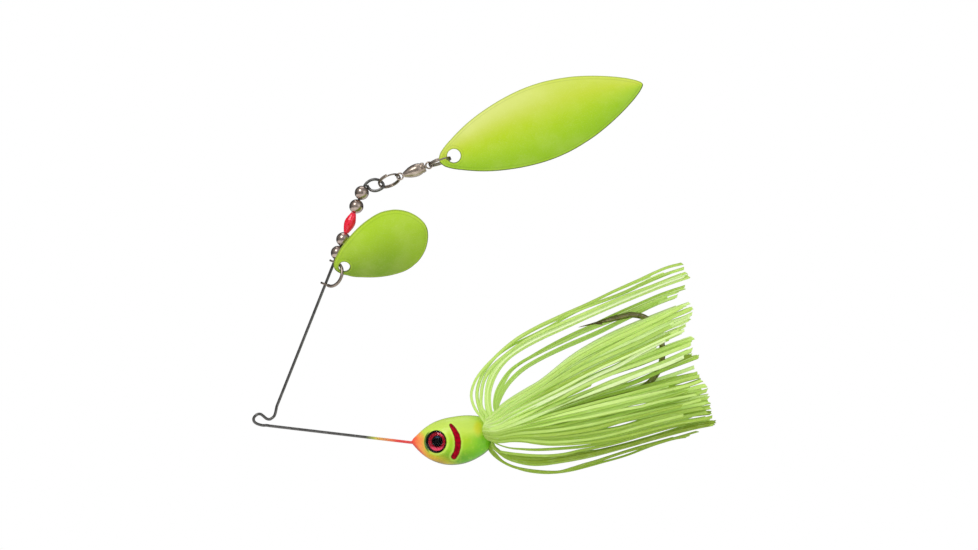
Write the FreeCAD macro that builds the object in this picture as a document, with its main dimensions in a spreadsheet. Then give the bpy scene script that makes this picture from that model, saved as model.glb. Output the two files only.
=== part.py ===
import FreeCAD, Part
import math
import os

import Sketcher
from FreeCAD import Placement, Rotation, Vector

# A safety-pin fishing lure (spinnerbait): bent wire with a cast lead head and a skirted hook on its
# lower arm, and a clevis blade, a bead stack and a swivel-hung willow blade on its upper arm.
# Millimetres. +X runs from the line tie back to the skirt tips, +Z is up, +Y is the lure's right
# side. The origin is the centre of the R-shaped line tie; the whole wire lies in the plane Y = 0.

os.makedirs("parts", exist_ok=True)
doc = FreeCAD.newDocument("spinnerbait")
sheet = doc.addObject("Spreadsheet::Sheet", "sizes")

# Names ending in _up are degrees above +X, and _at on the upper arm is a distance along it.
SIZES = [
    # bent wire
    ("wire_dia", 0.74), ("upper_arm_deg", 68.29), ("lower_arm_deg", 6.719),
    # beads on the upper arm
    ("bead_dia", 3.46), ("bead_bore", 0.90), ("bead_one_at", 25.50), ("bead_two_at", 29.06),
    ("bead_three_at", 37.70), ("bead_four_at", 41.26), ("spindle_dia", 2.70),
    ("spindle_len", 5.22), ("spindle_tip", 1.20), ("spindle_at", 33.38),
    # clevis
    ("clevis_wire", 0.78), ("clevis_half", 2.93), ("clevis_leg", 1.30), ("clevis_at", 20.17),
    ("clevis_turn", 45.0), ("clevis_tab_dia", 2.50), ("clevis_tab_thick", 0.50),
    ("clevis_bore", 0.90),
    # front blade
    ("front_blade_thick", 0.50), ("front_blade_dish", 2.30), ("front_blade_hole", 2.70),
    ("front_blade_up", 24.59), ("front_blade_tilt", 22.0),
    # rear blade
    ("willow_thick", 0.60), ("willow_dish", 2.60), ("willow_hole", 3.30), ("willow_up", 20.82),
    # split rings
    ("ring_wire", 0.40), ("ring_radius", 2.68), ("ring_pitch", 0.42), ("ring_up", 24.0),
    ("ring_turn", 63.0), ("ring_two_up", 20.5), ("ring_two_turn", 82.0),
    # swivel
    ("eye_wire", 0.38), ("eye_hole", 1.16), ("swivel_up", 21.0), ("barrel_start", 0.95),
    ("barrel_len", 5.55), ("barrel_max", 3.10), ("swivel_pitch", 7.55), ("ball_dia", 0.50),
    ("ball_count", 6), ("rotor_dia", 1.90), ("rotor_shaft", 0.70), ("cap_dia", 2.10),
    ("cap_thick", 0.55),
    # head, eyes, collar and hook
    ("head_width", 9.30), ("keeper_dia", 3.40), ("keeper_len", 6.4), ("eye_dia", 5.50),
    ("eye_floor", 2.95), ("eye_turn", 23.0), ("nose_narrow", 0.70), ("foil_thick", 0.18),
    ("dome_rise", 0.98), ("collar_inner", 3.50), ("collar_outer", 5.00), ("collar_width", 2.60),
    ("hook_wire", 1.45), ("hook_up", 14.8), ("hook_eye_radius", 1.45), ("hook_eye_wire", 1.00),
    ("cavity_gap", 0.03),
]
for row, (alias, value) in enumerate(SIZES, 1):
    sheet.set(f"A{row}", alias)
    sheet.set(f"B{row}", repr(value))
    sheet.setAlias(f"B{row}", alias)
doc.recompute()

MADE = []  # the finished pieces, each written to its own file


def size(alias):
    return float(getattr(sheet, alias))


# ---------------------------------------------------------------- vectors and rotations
def vec(x, y, z):
    return Vector(float(x), float(y), float(z))


X_AXIS, Y_AXIS, Z_AXIS = vec(1, 0, 0), vec(0, 1, 0), vec(0, 0, 1)
LEFT = vec(0, -1, 0)


def unit(vector):
    vector = Vector(vector)
    vector.normalize()
    return vector


def rising(degrees):
    """The direction in the wire's plane at this angle above +X."""
    angle = math.radians(degrees)
    return vec(math.cos(angle), 0, math.sin(angle))


def quarter_turn(direction):
    """A direction in the wire's plane, turned a quarter from +X towards +Z."""
    return vec(-direction.z, 0, direction.x)


def frame(x_axis, y_axis):
    """A rotation whose local X and Y lie along the two given directions."""
    x_axis = unit(x_axis)
    z_axis = unit(x_axis.cross(y_axis))
    return Rotation(x_axis, z_axis.cross(x_axis), z_axis, "ZXY")


def aim(direction):
    """A rotation that lays local Z along a direction."""
    return Rotation(Z_AXIS, direction)


# ---------------------------------------------------------------- bodies and their features
def body(name, place=None, finished=True):
    made = doc.addObject("PartDesign::Body", name)
    made.Label = name
    if place is not None:
        made.Placement = place
    if finished:
        MADE.append(made)
    return made


def sketch(owner, name, role="XZ_Plane", offset=None):
    made = owner.newObject("Sketcher::SketchObject", name)
    base = next(item for item in owner.Origin.OriginFeatures if item.Role == role)
    made.AttachmentSupport = [(base, "")]
    made.MapMode = "FlatFace"
    if offset is not None:
        made.AttachmentOffset = offset
    return made


def lines(profile, points):
    """An open chain of straight edges."""
    for (ax, ay), (bx, by) in zip(points, points[1:]):
        profile.addGeometry(Part.LineSegment(vec(ax, ay, 0), vec(bx, by, 0)), False)


def bind_radius(profile, label, alias):
    """Hold the sketch's first curve to half the diameter in the sheet."""
    index = profile.addConstraint(Sketcher.Constraint("Radius", 0, size(alias) / 2))
    profile.renameConstraint(index, label)
    profile.setExpression(f"Constraints.{label}", f"sizes.{alias} / 2")


def bore(owner, name, alias, length):
    """A round hole along the body's Z axis, its length centred on the body's origin."""
    circle = sketch(owner, name + "_circle", "XY_Plane",
                    Placement(vec(0, 0, -length / 2), Rotation()))
    circle.addGeometry(Part.Circle(vec(0, 0, 0), Z_AXIS, size(alias) / 2), False)
    circle.addConstraint(Sketcher.Constraint("Coincident", 0, 3, -1, 1))
    bind_radius(circle, "hole_radius", alias)
    pocket = owner.newObject("PartDesign::Pocket", name)
    pocket.Profile = circle
    pocket.Length = length
    pocket.Reversed = True
    owner.Tip = pocket


def revolve(owner, name, profile):
    """Turn an XZ profile a full circle about the body's Z axis."""
    turn = owner.newObject("PartDesign::Revolution", name)
    turn.Profile = profile
    turn.ReferenceAxis = (profile, ["V_Axis"])
    turn.Angle = 360
    owner.Tip = turn


def turned(owner, name, points):
    """Revolve a closed straight-edged outline; points are (radius, z)."""
    profile = sketch(owner, name + "_profile")
    lines(profile, points + points[:1])
    revolve(owner, name, profile)


def loft(owner, name, sections):
    skin = owner.newObject("PartDesign::AdditiveLoft", name)
    skin.Profile = sections[0]
    skin.Sections = sections[1:]
    skin.Ruled = False
    owner.Tip = skin


def ellipse_section(owner, name, place, half_x, half_y):
    section = sketch(owner, name, "XY_Plane", place)
    ends = [vec(half_x, 0, 0), vec(0, half_y, 0)]
    if half_y >= half_x:
        ends.reverse()  # the major end comes first
    section.addGeometry(Part.Ellipse(ends[0], ends[1], vec(0, 0, 0)), False)
    return section


# ---------------------------------------------------------------- plain solids and swept wire
def primitive(kind, name, place, **values):
    """A Part primitive; a text value is bound as an expression, a number is set."""
    made = doc.addObject("Part::" + kind, name)
    for prop, value in values.items():
        if isinstance(value, str):
            made.setExpression(prop, value)
        else:
            setattr(made, prop, value)
    made.Placement = place
    return made


def fuse(name, shapes):
    made = doc.addObject("Part::MultiFuse", name)
    made.Shapes = shapes
    return made


def cut(name, base, tool):
    made = doc.addObject("Part::Cut", name)
    made.Base = base
    made.Tool = tool
    return made


def finish(piece, place=None):
    """Label a piece by its name, place it and list it for writing."""
    piece.Label = piece.Name
    if place is not None:
        piece.Placement = place
    MADE.append(piece)


def spline(points, start_tangent=None, end_tangent=None):
    curve = Part.BSplineCurve()
    if start_tangent is None:
        curve.interpolate(points)
    else:
        curve.interpolate(Points=points, InitialTangent=start_tangent, FinalTangent=end_tangent)
    return curve


def swept(name, curves, radius):
    """Round wire swept along a chain of planar curves; radius is an expression."""
    edges = [curve.toShape() for curve in curves]
    path = doc.addObject("Part::Feature", name + "_path")
    path.Shape = Part.Wire(edges)
    first = edges[0].FirstParameter
    place = Placement(edges[0].valueAt(first), aim(edges[0].tangentAt(first)))
    ring = primitive("Circle", name + "_section", place, Radius=radius)
    sweep = doc.addObject("Part::Sweep", name)
    sweep.Sections = [ring]
    sweep.Spine = (path, [f"Edge{k + 1}" for k in range(len(path.Shape.Edges))])
    sweep.Solid = True
    sweep.Frenet = False
    return sweep


# ---------------------------------------------------------------- lines the pieces are set out on
ARM = rising(size("upper_arm_deg"))
ARM_SIDE = quarter_turn(ARM) * -1  # back and down from the upper arm
ARM_START = vec(9.854, 0, 16.829)
LOW = rising(-size("lower_arm_deg"))
LOW_START = vec(15.66, 0, -3.20)
HOOK = rising(size("hook_up"))
HOOK_RISE = quarter_turn(HOOK)
HOOK_ZERO = vec(75.40, 0, 2.44)


def on_arm(along):
    return ARM_START + ARM * along


def on_low(x):
    """The point of the lower arm's line at this x."""
    return LOW_START + LOW * ((x - LOW_START.x) / LOW.x)


def on_hook(along, rise=0.0):
    return HOOK_ZERO + HOOK * along + HOOK_RISE * rise


# ---------------------------------------------------------------- wire form, one length of bent wire
# It starts as a short leg inside the head, leaves the nose, rounds the R-shaped line tie,
# rises as the upper arm and ends in a teardrop loop. The tables are (x, z).
HOOKED = [(43.35, -8.05), (43.20, -6.60), (42.95, -5.20), (42.20, -4.42), (41.10, -4.55),
          (40.10, -5.25)]
TIE = [(1.89, -1.55), (0.90, -1.54), (-0.54, -1.10), (-1.15, -0.585), (-1.27, 0.02),
       (-1.05, 0.54), (-0.46, 1.07), (0.05, 1.22), (0.49, 1.17), (1.17, 0.66), (1.78, 0.15),
       (2.37, -0.07), (2.80, -0.02), (3.39, 0.37), (3.73, 0.71), (4.02, 1.40)]
LOOP = [(26.32, 57.58), (27.25, 58.21), (28.44, 58.39), (29.56, 58.0), (30.33, 57.25),
        (30.28, 56.52), (29.55, 55.96), (28.46, 55.63), (27.35, 55.80)]
WIRE_START_WAY = vec(-0.02, 0, 1)
WIRE_END_WAY = vec(-0.92, 0, 0.38)
WIRE_ROOM_END_X = 36.0  # the wire's room in the head runs out past the nose to here


def in_plane(points):
    return [vec(x, 0, z) for x, z in points]


low_in, low_out = on_low(39.0), on_low(2.75)
arm_in, arm_out = on_arm(-14.70), on_arm(43.05)
hooked_end = spline(in_plane(HOOKED) + [low_in], WIRE_START_WAY, LOW * -1)
finish(swept("wire_form", [
    hooked_end,
    Part.LineSegment(low_in, low_out),
    spline([low_out] + in_plane(TIE) + [arm_in], LOW * -1, ARM),
    Part.LineSegment(arm_in, arm_out),
    spline([arm_out] + in_plane(LOOP), ARM, WIRE_END_WAY),
], "sizes.wire_dia / 2"))
wire_room = swept("wire_room", [hooked_end, Part.LineSegment(low_in, on_low(WIRE_ROOM_END_X))],
                  "sizes.wire_dia / 2 + sizes.cavity_gap")


# ---------------------------------------------------------------- beads, bored to spin on the arm
def round_bead(name, place_alias):
    bead = body(name, Placement(on_arm(size(place_alias)), aim(ARM)))
    half = sketch(bead, name + "_half")
    radius = size("bead_dia") / 2
    circle = Part.Circle(vec(0, 0, 0), Z_AXIS, radius)
    half.addGeometry(Part.ArcOfCircle(circle, -math.pi / 2, math.pi / 2), False)
    lines(half, [(0, radius), (0, -radius)])
    half.addConstraint(Sketcher.Constraint("Coincident", 0, 3, -1, 1))
    half.addConstraint(Sketcher.Constraint("Coincident", 0, 2, 1, 1))
    half.addConstraint(Sketcher.Constraint("Coincident", 0, 1, 1, 2))
    half.addConstraint(Sketcher.Constraint("PointOnObject", 0, 2, -2))
    half.addConstraint(Sketcher.Constraint("PointOnObject", 0, 1, -2))
    bind_radius(half, "bead_radius", "bead_dia")
    revolve(bead, name + "_ball", half)
    bore(bead, name + "_bore", "bead_bore", 6)


for number, word in enumerate(("one", "two", "three", "four"), 1):
    round_bead(f"bead_{number}", f"bead_{word}_at")


def spindle_bead():
    """The long bead: narrow at both ends, fattest in the middle."""
    bead = body("spindle_bead", Placement(on_arm(size("spindle_at")), aim(ARM)))
    end, belly, tip = size("spindle_len") / 2, size("spindle_dia") / 2, size("spindle_tip") / 2
    shoulder, shoulder_at = belly * 0.80, end * 0.52
    half = sketch(bead, "spindle_half")
    half.addGeometry(spline([vec(tip, -end, 0), vec(shoulder, -shoulder_at, 0), vec(belly, 0, 0),
                             vec(shoulder, shoulder_at, 0), vec(tip, end, 0)]), False)
    lines(half, [(tip, end), (0, end), (0, -end), (tip, -end)])
    revolve(bead, "spindle_turn", half)
    bore(bead, "spindle_bore", "bead_bore", 8)


spindle_bead()


# ---------------------------------------------------------------- clevis: a stirrup of round wire
def clevis():
    """Local X runs along the arm and local Y out to the crown; both flat tabs sit round the arm."""
    half, leg = size("clevis_half"), size("clevis_leg")
    leg_start = size("clevis_tab_dia") / 2 - 0.42  # just inside the tab's rim
    crown = Part.Circle(vec(0, leg, 0), Z_AXIS, half)
    bow = swept("clevis_bow", [
        Part.LineSegment(vec(half, leg_start, 0), vec(half, leg, 0)),
        Part.ArcOfCircle(crown, 0, math.pi),
        Part.LineSegment(vec(-half, leg, 0), vec(-half, leg_start, 0)),
    ], "sizes.clevis_wire / 2")
    tabs = []
    for number, side in enumerate((1, -1), 1):
        start = vec(side * half - size("clevis_tab_thick") / 2, 0, 0)
        tabs.append(primitive("Cylinder", f"clevis_tab_{number}", Placement(start, aim(X_AXIS)),
                              Radius="sizes.clevis_tab_dia / 2", Height="sizes.clevis_tab_thick"))
    blank = fuse("clevis_blank", [bow] + tabs)
    drill = primitive("Cylinder", "clevis_drill", Placement(vec(-10, 0, 0), aim(X_AXIS)),
                      Radius="sizes.clevis_bore / 2", Height=20)
    turn = math.radians(size("clevis_turn"))
    outward = ARM_SIDE * math.cos(turn) + LEFT * math.sin(turn)
    finish(cut("clevis", blank, drill), Placement(on_arm(size("clevis_at")), frame(ARM, outward)))


clevis()

# ---------------------------------------------------------------- blades: dished sheet metal
CROSS_SECTION = frame(Y_AXIS, Z_AXIS)  # a sketch square to X, its x along Y and its y along Z
CROWN_POWER = 2.2    # how flat the dish is along its middle
CROWN_REACH = 1.01   # the dish runs out this much beyond the blade's half length
LEAST_CROWN = 0.06   # keeps the end sections' arcs from going straight


def width_at(outline, along):
    """Half-width at a place: its square is interpolated, so both ends come out round."""
    if along <= outline[0][0] or along >= outline[-1][0]:
        return 0.0
    for (start, w0), (end, w1) in zip(outline, outline[1:]):
        if start <= along <= end:
            fraction = (along - start) / (end - start)
            return math.sqrt(w0 * w0 + fraction * (w1 * w1 - w0 * w0))


def blade(name, hole, axis, face, outline, stations, hole_along, hole_across, sizes_prefix):
    """A sheet whose crown rises towards face (local +Z); the body's origin is in the hole."""
    dish, thick = size(sizes_prefix + "_dish"), size(sizes_prefix + "_thick")
    low, high = outline[0][0], outline[-1][0]
    middle, reach = (low + high) / 2, (high - low) / 2 * CROWN_REACH

    def crown(along):
        return dish * max(0.0, 1 - abs((along - middle) / reach) ** CROWN_POWER)

    drop = thick / 2 - crown(hole_along)
    made = body(name, Placement(hole, frame(axis, face.cross(axis))))
    sections = []
    for k, along in enumerate(stations):
        half, rise = width_at(outline, along), max(crown(along), LEAST_CROWN)
        section = sketch(made, f"{name}_section_{k}", "XY_Plane",
                         Placement(vec(along - hole_along, -hole_across, drop), CROSS_SECTION))
        section.addGeometry(Part.Arc(vec(-half, 0, 0), vec(0, rise, 0), vec(half, 0, 0)), False)
        lines(section, [(half, 0), (half, -thick)])
        section.addGeometry(Part.Arc(vec(half, -thick, 0), vec(0, rise - thick, 0),
                                     vec(-half, -thick, 0)), False)
        lines(section, [(-half, -thick), (-half, 0)])
        sections.append(section)
    loft(made, name + "_sheet", sections)
    doc.recompute()
    full = made.Shape.Volume
    bore(made, name + "_hole", sizes_prefix + "_hole", 16)
    doc.recompute()
    if made.Shape.Volume >= full - 0.5:
        raise RuntimeError(f"the hole missed {name}")


# (distance along the blade, half-width seen square to the wire's plane)
FRONT_OUTLINE = [
    (-13.317, 0.0), (-13.073, 0.829), (-12.683, 1.415), (-12.146, 2.024), (-11.146, 2.756),
    (-10.146, 3.561), (-9.146, 4.122), (-8.146, 4.610), (-7.146, 5.098), (-6.146, 5.561),
    (-5.146, 5.976), (-4.146, 6.341), (-3.146, 6.659), (-2.146, 6.927), (-1.146, 7.146),
    (-0.146, 7.317), (0.854, 7.463), (1.854, 7.537), (2.878, 7.512), (3.878, 7.366),
    (4.878, 7.098), (5.878, 6.805), (6.878, 6.317), (7.878, 5.683), (8.878, 4.854),
    (9.878, 3.707), (10.585, 2.585), (11.122, 1.317), (11.366, 0.0)]
FRONT_STATIONS = [-13.220, -12.829, -12.146, -11.146, -9.146, -6.585, -3.415, 0.0, 2.927, 5.366,
                  7.317, 8.878, 9.878, 10.634, 11.171]
FRONT_WIDEN = 1.02  # widening on top of the tilt's own

tilt = math.radians(size("front_blade_tilt"))
front_axis = rising(size("front_blade_up"))
front_face = LEFT * math.cos(tilt) - quarter_turn(front_axis) * math.sin(tilt)
widen = FRONT_WIDEN / math.cos(tilt)
# The clevis wire passes through this hole.
blade("indiana_blade", hole=vec(20.902, -2.42, 37.171), axis=front_axis, face=front_face,
      outline=[(along, half * widen) for along, half in FRONT_OUTLINE],
      stations=FRONT_STATIONS, hole_along=-10.902, hole_across=-0.30, sizes_prefix="front_blade")

# (distance along the blade, half-width)
WILLOW_OUTLINE = [
    (-26.244, 0.0), (-25.927, 0.976), (-25.366, 1.756), (-24.634, 2.341), (-23.829, 2.878),
    (-21.634, 4.049), (-19.415, 5.122), (-17.220, 6.073), (-15.024, 6.854), (-12.805, 7.512),
    (-10.610, 8.049), (-8.415, 8.512), (-6.195, 8.878), (-4.000, 9.146), (-1.780, 9.317),
    (0.415, 9.366), (2.610, 9.293), (4.829, 9.098), (7.024, 8.756), (9.220, 8.317),
    (11.439, 7.805), (13.634, 7.122), (15.854, 6.341), (18.049, 5.463), (20.244, 4.488),
    (22.439, 3.390), (24.634, 2.122), (26.098, 1.049), (26.707, 0.463), (26.878, 0.0)]
WILLOW_STATIONS = [-26.146, -25.610, -24.634, -23.171, -20.488, -17.073, -12.195, -6.098, 0.0,
                   6.098, 11.439, 15.854, 20.244, 23.659, 25.854, 26.732]

blade("willow_blade", hole=vec(47.585, 0, 64.220), axis=rising(size("willow_up")), face=LEFT,
      outline=WILLOW_OUTLINE, stations=WILLOW_STATIONS, hole_along=-22.427, hole_across=0.0,
      sizes_prefix="willow")

# ---------------------------------------------------------------- split rings: close coils of wire
RING_TURNS = 1.88


def split_ring(name, centre, pull, turn_alias, start_pitches):
    """The coil's axis is local Z, and local +Y lies along the pull.

    The coil's plane is turned about the pull; it begins start_pitches along its axis.
    """
    turn = math.radians(size(turn_alias))
    across = quarter_turn(pull) * math.cos(turn) + LEFT * math.sin(turn)
    ring = body(name, Placement(centre, frame(pull, across) * Rotation(Z_AXIS, -90)))
    wire = sketch(ring, name + "_wire")
    start = vec(-size("ring_radius"), start_pitches * size("ring_pitch"), 0)
    wire.addGeometry(Part.Circle(start, Z_AXIS, size("ring_wire") / 2), False)
    bind_radius(wire, "wire_radius", "ring_wire")
    coil = ring.newObject("PartDesign::AdditiveHelix", name + "_coil")
    coil.Profile = wire
    coil.ReferenceAxis = (wire, ["V_Axis"])
    coil.Mode = 1  # pitch and turns
    coil.Turns = RING_TURNS
    coil.setExpression("Pitch", "sizes.ring_pitch")
    ring.Tip = coil


RING_ONE = vec(31.89, 0, 58.03)
SWIVEL = rising(size("swivel_up"))
ring_to_eye = size("ring_radius") + 0.12  # a ring's centre to the swivel eye's centre
pull_one, pull_two = rising(size("ring_up")), rising(size("ring_two_up"))
eye_one = RING_ONE + pull_one * ring_to_eye
eye_two = eye_one + SWIVEL * size("swivel_pitch")
split_ring("split_ring_front", RING_ONE, pull_one, "ring_turn", -1.25)
split_ring("split_ring_rear", eye_two + pull_two * ring_to_eye, pull_two, "ring_two_turn", -0.75)

# ---------------------------------------------------------------- ball-bearing swivel
# Local Z runs along the swivel from the fixed eye's centre. Its barrel is a turned shell with a
# stepped rear collar; a ring of balls lies between the rotor's flange and the end cap.
SWIVEL_PLACE = Placement(eye_one, aim(SWIVEL))
EYE_SINK = 0.30        # how far a stem runs in past its eye's outer edge
FLANGE_LEN = 1.10
BALL_RING_RADIUS = 0.66
barrel_z = size("barrel_start")
barrel_end = barrel_z + size("barrel_len")
cap_radius = size("cap_dia") / 2
cap_z = barrel_end - size("cap_thick")
chamber_z = barrel_z + 2.55
flange_z = chamber_z + 0.08
eye_outer = size("eye_hole") / 2 + size("eye_wire")


def swivel_barrel():
    belly = size("barrel_max") / 2
    chamber = size("rotor_dia") / 2 + 0.04
    mouth = cap_radius + 0.02
    # (radius, distance behind the barrel's start)
    outside = [(0.42, 0), (0.62, 0), (0.74, 0.30), (0.98, 0.80), (1.26, 1.50), (1.46, 2.30),
               (belly, 3.10), (belly - 0.02, 3.75), (1.43, 4.20), (1.32, 4.55), (1.24, 4.58),
               (1.24, 4.76), (1.30, 4.80), (1.24, 5.18), (1.19, 5.22)]
    inside = [(1.17, barrel_end - 0.10), (mouth, barrel_end), (mouth, cap_z - 0.02),
              (chamber, cap_z - 0.02), (chamber, chamber_z), (0.42, chamber_z - 0.35)]
    turned(body("swivel_barrel", SWIVEL_PLACE), "barrel_shell",
           [(radius, barrel_z + z) for radius, z in outside] + inside)


def wire_eye(name, centre, stem_start, stem_end):
    """A small wire eye whose hole runs along Y, with a stem on the swivel's axis."""
    ring = primitive("Torus", name + "_ring", Placement(vec(0, 0, centre), aim(Y_AXIS)),
                     Radius1="(sizes.eye_hole + sizes.eye_wire) / 2",
                     Radius2="sizes.eye_wire / 2")
    stem = primitive("Cylinder", name + "_stem", Placement(vec(0, 0, stem_start), Rotation()),
                     Radius="sizes.rotor_shaft / 2", Height=stem_end - stem_start)
    return [ring, stem]


def swivel_rotor():
    pitch = size("swivel_pitch")
    flange = primitive("Cylinder", "rotor_flange", Placement(vec(0, 0, flange_z), Rotation()),
                       Radius="sizes.rotor_dia / 2", Height=FLANGE_LEN)
    eye = wire_eye("rotor_eye", pitch, flange_z + 0.2, pitch - eye_outer + EYE_SINK)
    finish(fuse("swivel_rotor", eye + [flange]), SWIVEL_PLACE)


def swivel_balls():
    count = int(size("ball_count"))
    ball_z = flange_z + FLANGE_LEN + size("ball_dia") / 2 + 0.02
    balls = []
    for k in range(count):
        angle = 2 * math.pi * k / count
        centre = vec(BALL_RING_RADIUS * math.cos(angle), BALL_RING_RADIUS * math.sin(angle), ball_z)
        balls.append(primitive("Sphere", f"swivel_ball_{k + 1}", Placement(centre, Rotation()),
                               Radius="sizes.ball_dia / 2"))
    group = doc.addObject("Part::Compound", "swivel_balls")
    group.Links = balls
    finish(group, SWIVEL_PLACE)


def swivel_end_cap():
    hole = size("rotor_shaft") / 2 + 0.05
    turned(body("swivel_end_cap", SWIVEL_PLACE), "cap_disc", [
        (hole, cap_z), (cap_radius, cap_z), (cap_radius, barrel_end - 0.12),
        (cap_radius - 0.16, barrel_end + 0.04), (hole + 0.10, barrel_end + 0.04),
        (hole, barrel_end - 0.04)])


swivel_barrel()
fixed_eye = wire_eye("fixed_eye", 0.0, eye_outer - EYE_SINK, chamber_z - 0.55)
finish(fuse("swivel_fixed_eye", fixed_eye), SWIVEL_PLACE)
swivel_rotor()
swivel_balls()
swivel_end_cap()

# ---------------------------------------------------------------- hook, from the head into the skirt
# Tables are (distance along the shank's line, rise above it).
BEND = [(15.5, 0.0), (18.6, 0.35), (21.6, 1.6), (24.5, 4.4), (26.15, 9.0), (25.7, 13.4),
        (23.9, 16.7), (20.6, 18.35)]
SPEAR_RISE = 18.56
SPEAR_END_AT = 12.2
POINT_LEN = 3.9
BARB_AT = 12.4
BARB = [(-2.1, -0.28), (0.55, -1.12), (0.30, -0.20)]  # from BARB_AT on the spear's line
BARB_THICK = 0.34
HOOK_EYE_AT = -33.2
OVERLAP = 0.001  # sinks one solid's end face into the next
hook_eye_place = Placement(on_hook(HOOK_EYE_AT), aim(HOOK_RISE))
shank_start = on_hook(HOOK_EYE_AT + size("hook_eye_radius") + 0.2)


def hook():
    bend = [on_hook(along, rise) for along, rise in BEND]
    spear_end = on_hook(SPEAR_END_AT, SPEAR_RISE)
    spear_way = unit(spear_end - bend[-1])
    shank = swept("hook_shank", [
        Part.LineSegment(shank_start, bend[0]),
        spline(bend, HOOK, spear_way),
        Part.LineSegment(bend[-1], spear_end),
    ], "sizes.hook_wire / 2")
    eye = primitive("Torus", "hook_eye", hook_eye_place,
                    Radius1="sizes.hook_eye_radius", Radius2="sizes.hook_eye_wire / 2")
    point = primitive("Cone", "hook_point",
                      Placement(spear_end - spear_way * OVERLAP, aim(spear_way)),
                      Radius1="sizes.hook_wire / 2", Radius2=0.05, Height=POINT_LEN)
    corners = [on_hook(BARB_AT + along, SPEAR_RISE + rise) + vec(0, -BARB_THICK / 2, 0)
               for along, rise in BARB]
    barb = doc.addObject("Part::Feature", "hook_barb")
    side = Part.Face(Part.makePolygon(corners + corners[:1]))
    barb.Shape = side.extrude(vec(0, BARB_THICK, 0))
    finish(fuse("hook", [shank, eye, point, barb]))


hook()

# ---------------------------------------------------------------- head: cast, egg-shaped, with a keeper
# (x, top z, bottom z)
HEAD = [
    (37.415, -5.171, -6.000), (37.707, -4.732, -6.390), (38.512, -3.951, -7.293),
    (39.854, -2.683, -8.585), (41.220, -1.659, -9.561), (42.732, -0.780, -10.341),
    (45.171, 0.098, -11.073), (47.610, 0.585, -11.220), (50.049, 0.878, -10.878),
    (52.000, 0.878, -10.195), (53.707, 0.634, -9.317), (55.171, -0.195, -8.341),
    (56.146, -1.463, -7.366), (56.634, -2.683, -6.341)]
NOSE_X, NOSE_LEN = 37.854, 8.293  # where the narrowed nose begins to fill out, and over what length
KEEPER_AT = -21.6
LIP_LEN, LIP_FLARE = 0.8, 0.45
EYE_CENTRE = vec(43.439, 0, -5.463)
SIDES = ((-1, "left"), (1, "right"))


def eye_out(side):
    """The way an eye looks: sideways and turned a little towards the nose."""
    turn = math.radians(size("eye_turn"))
    return vec(-math.sin(turn), side * math.cos(turn), 0)


def eye_place(side, lift=0.0):
    """On the eye's floor, raised by lift along the way it looks."""
    floor = EYE_CENTRE + vec(0, side * size("eye_floor"), 0)
    return Placement(floor + eye_out(side) * lift, aim(eye_out(side)))


def head_blank():
    blank = body("head_blank", finished=False)
    tallest = max(top - bottom for _, top, bottom in HEAD)
    narrow = size("nose_narrow")
    sections = []
    for k, (x, top, bottom) in enumerate(HEAD):
        half_height = (top - bottom) / 2
        grow = min(1.0, max(0.0, (x - NOSE_X) / NOSE_LEN))
        grow = grow * grow * (3 - 2 * grow)  # eased at both ends
        fullness = narrow + (1 - narrow) * grow
        half_width = half_height * size("head_width") / tallest * fullness
        sections.append(ellipse_section(
            blank, f"head_section_{k}", Placement(vec(x, 0, (top + bottom) / 2), CROSS_SECTION),
            half_width, half_height))
    loft(blank, "head_cast", sections)
    return blank


def head_rooms():
    """The space the wire, the hook and the eyes take up in the head."""
    shank = primitive("Cylinder", "shank_room", Placement(shank_start, aim(HOOK)),
                      Radius="sizes.hook_wire / 2 + sizes.cavity_gap", Height=24)
    eye = primitive("Torus", "eye_room", hook_eye_place, Radius1="sizes.hook_eye_radius",
                    Radius2="sizes.hook_eye_wire / 2 + sizes.cavity_gap")
    seats = [primitive("Cylinder", f"eye_seat_{label}", eye_place(side, -0.02),
                       Radius="sizes.eye_dia / 2 + 0.06", Height=4) for side, label in SIDES]
    return fuse("head_rooms", [wire_room, shank, eye] + seats)


def head():
    blank = head_blank()
    keeper = primitive("Cylinder", "head_keeper", Placement(on_hook(KEEPER_AT), aim(HOOK)),
                       Radius="sizes.keeper_dia / 2", Height="sizes.keeper_len")
    lip_at = on_hook(KEEPER_AT + size("keeper_len") - OVERLAP)
    lip = primitive("Cone", "keeper_lip", Placement(lip_at, aim(HOOK)),
                    Radius1="sizes.keeper_dia / 2",
                    Radius2=f"sizes.keeper_dia / 2 + {LIP_FLARE}", Height=LIP_LEN)
    finish(cut("head", fuse("head_solid", [blank, keeper, lip]), head_rooms()))


head()

# ---------------------------------------------------------------- eyes: a foil disc under a dome
DOME_EDGE = 0.32  # height of the dome's upright rim


def eye_dome(side, label):
    dome = body(f"eye_dome_{label}", eye_place(side, size("foil_thick") + 0.02))
    radius, rise = size("eye_dia") / 2, size("dome_rise")
    cap_rise = rise - DOME_EDGE
    sphere = (radius * radius + cap_rise * cap_rise) / (2 * cap_rise)
    mid_x = radius * 0.5
    mid_z = rise - (sphere - math.sqrt(sphere * sphere - mid_x * mid_x))
    half = sketch(dome, f"dome_half_{label}")
    half.addGeometry(Part.Arc(vec(radius, DOME_EDGE, 0), vec(mid_x, mid_z, 0),
                              vec(0, rise, 0)), False)
    lines(half, [(0, rise), (0, 0), (radius, 0), (radius, DOME_EDGE)])
    revolve(dome, f"dome_turn_{label}", half)


for side, label in SIDES:
    finish(primitive("Cylinder", f"eye_foil_{label}", eye_place(side),
                     Radius="sizes.eye_dia / 2", Height="sizes.foil_thick"))
    eye_dome(side, label)


# ---------------------------------------------------------------- collar round the keeper
def skirt_collar():
    inner, outer = size("collar_inner") / 2, size("collar_outer") / 2
    width, bevel = size("collar_width"), 0.25
    turned(body("skirt_collar", Placement(on_hook(-18.6), aim(HOOK))), "collar_band", [
        (inner, 0), (outer - bevel, 0), (outer, bevel), (outer, width - bevel),
        (outer - bevel, width), (inner, width)])


skirt_collar()

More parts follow.
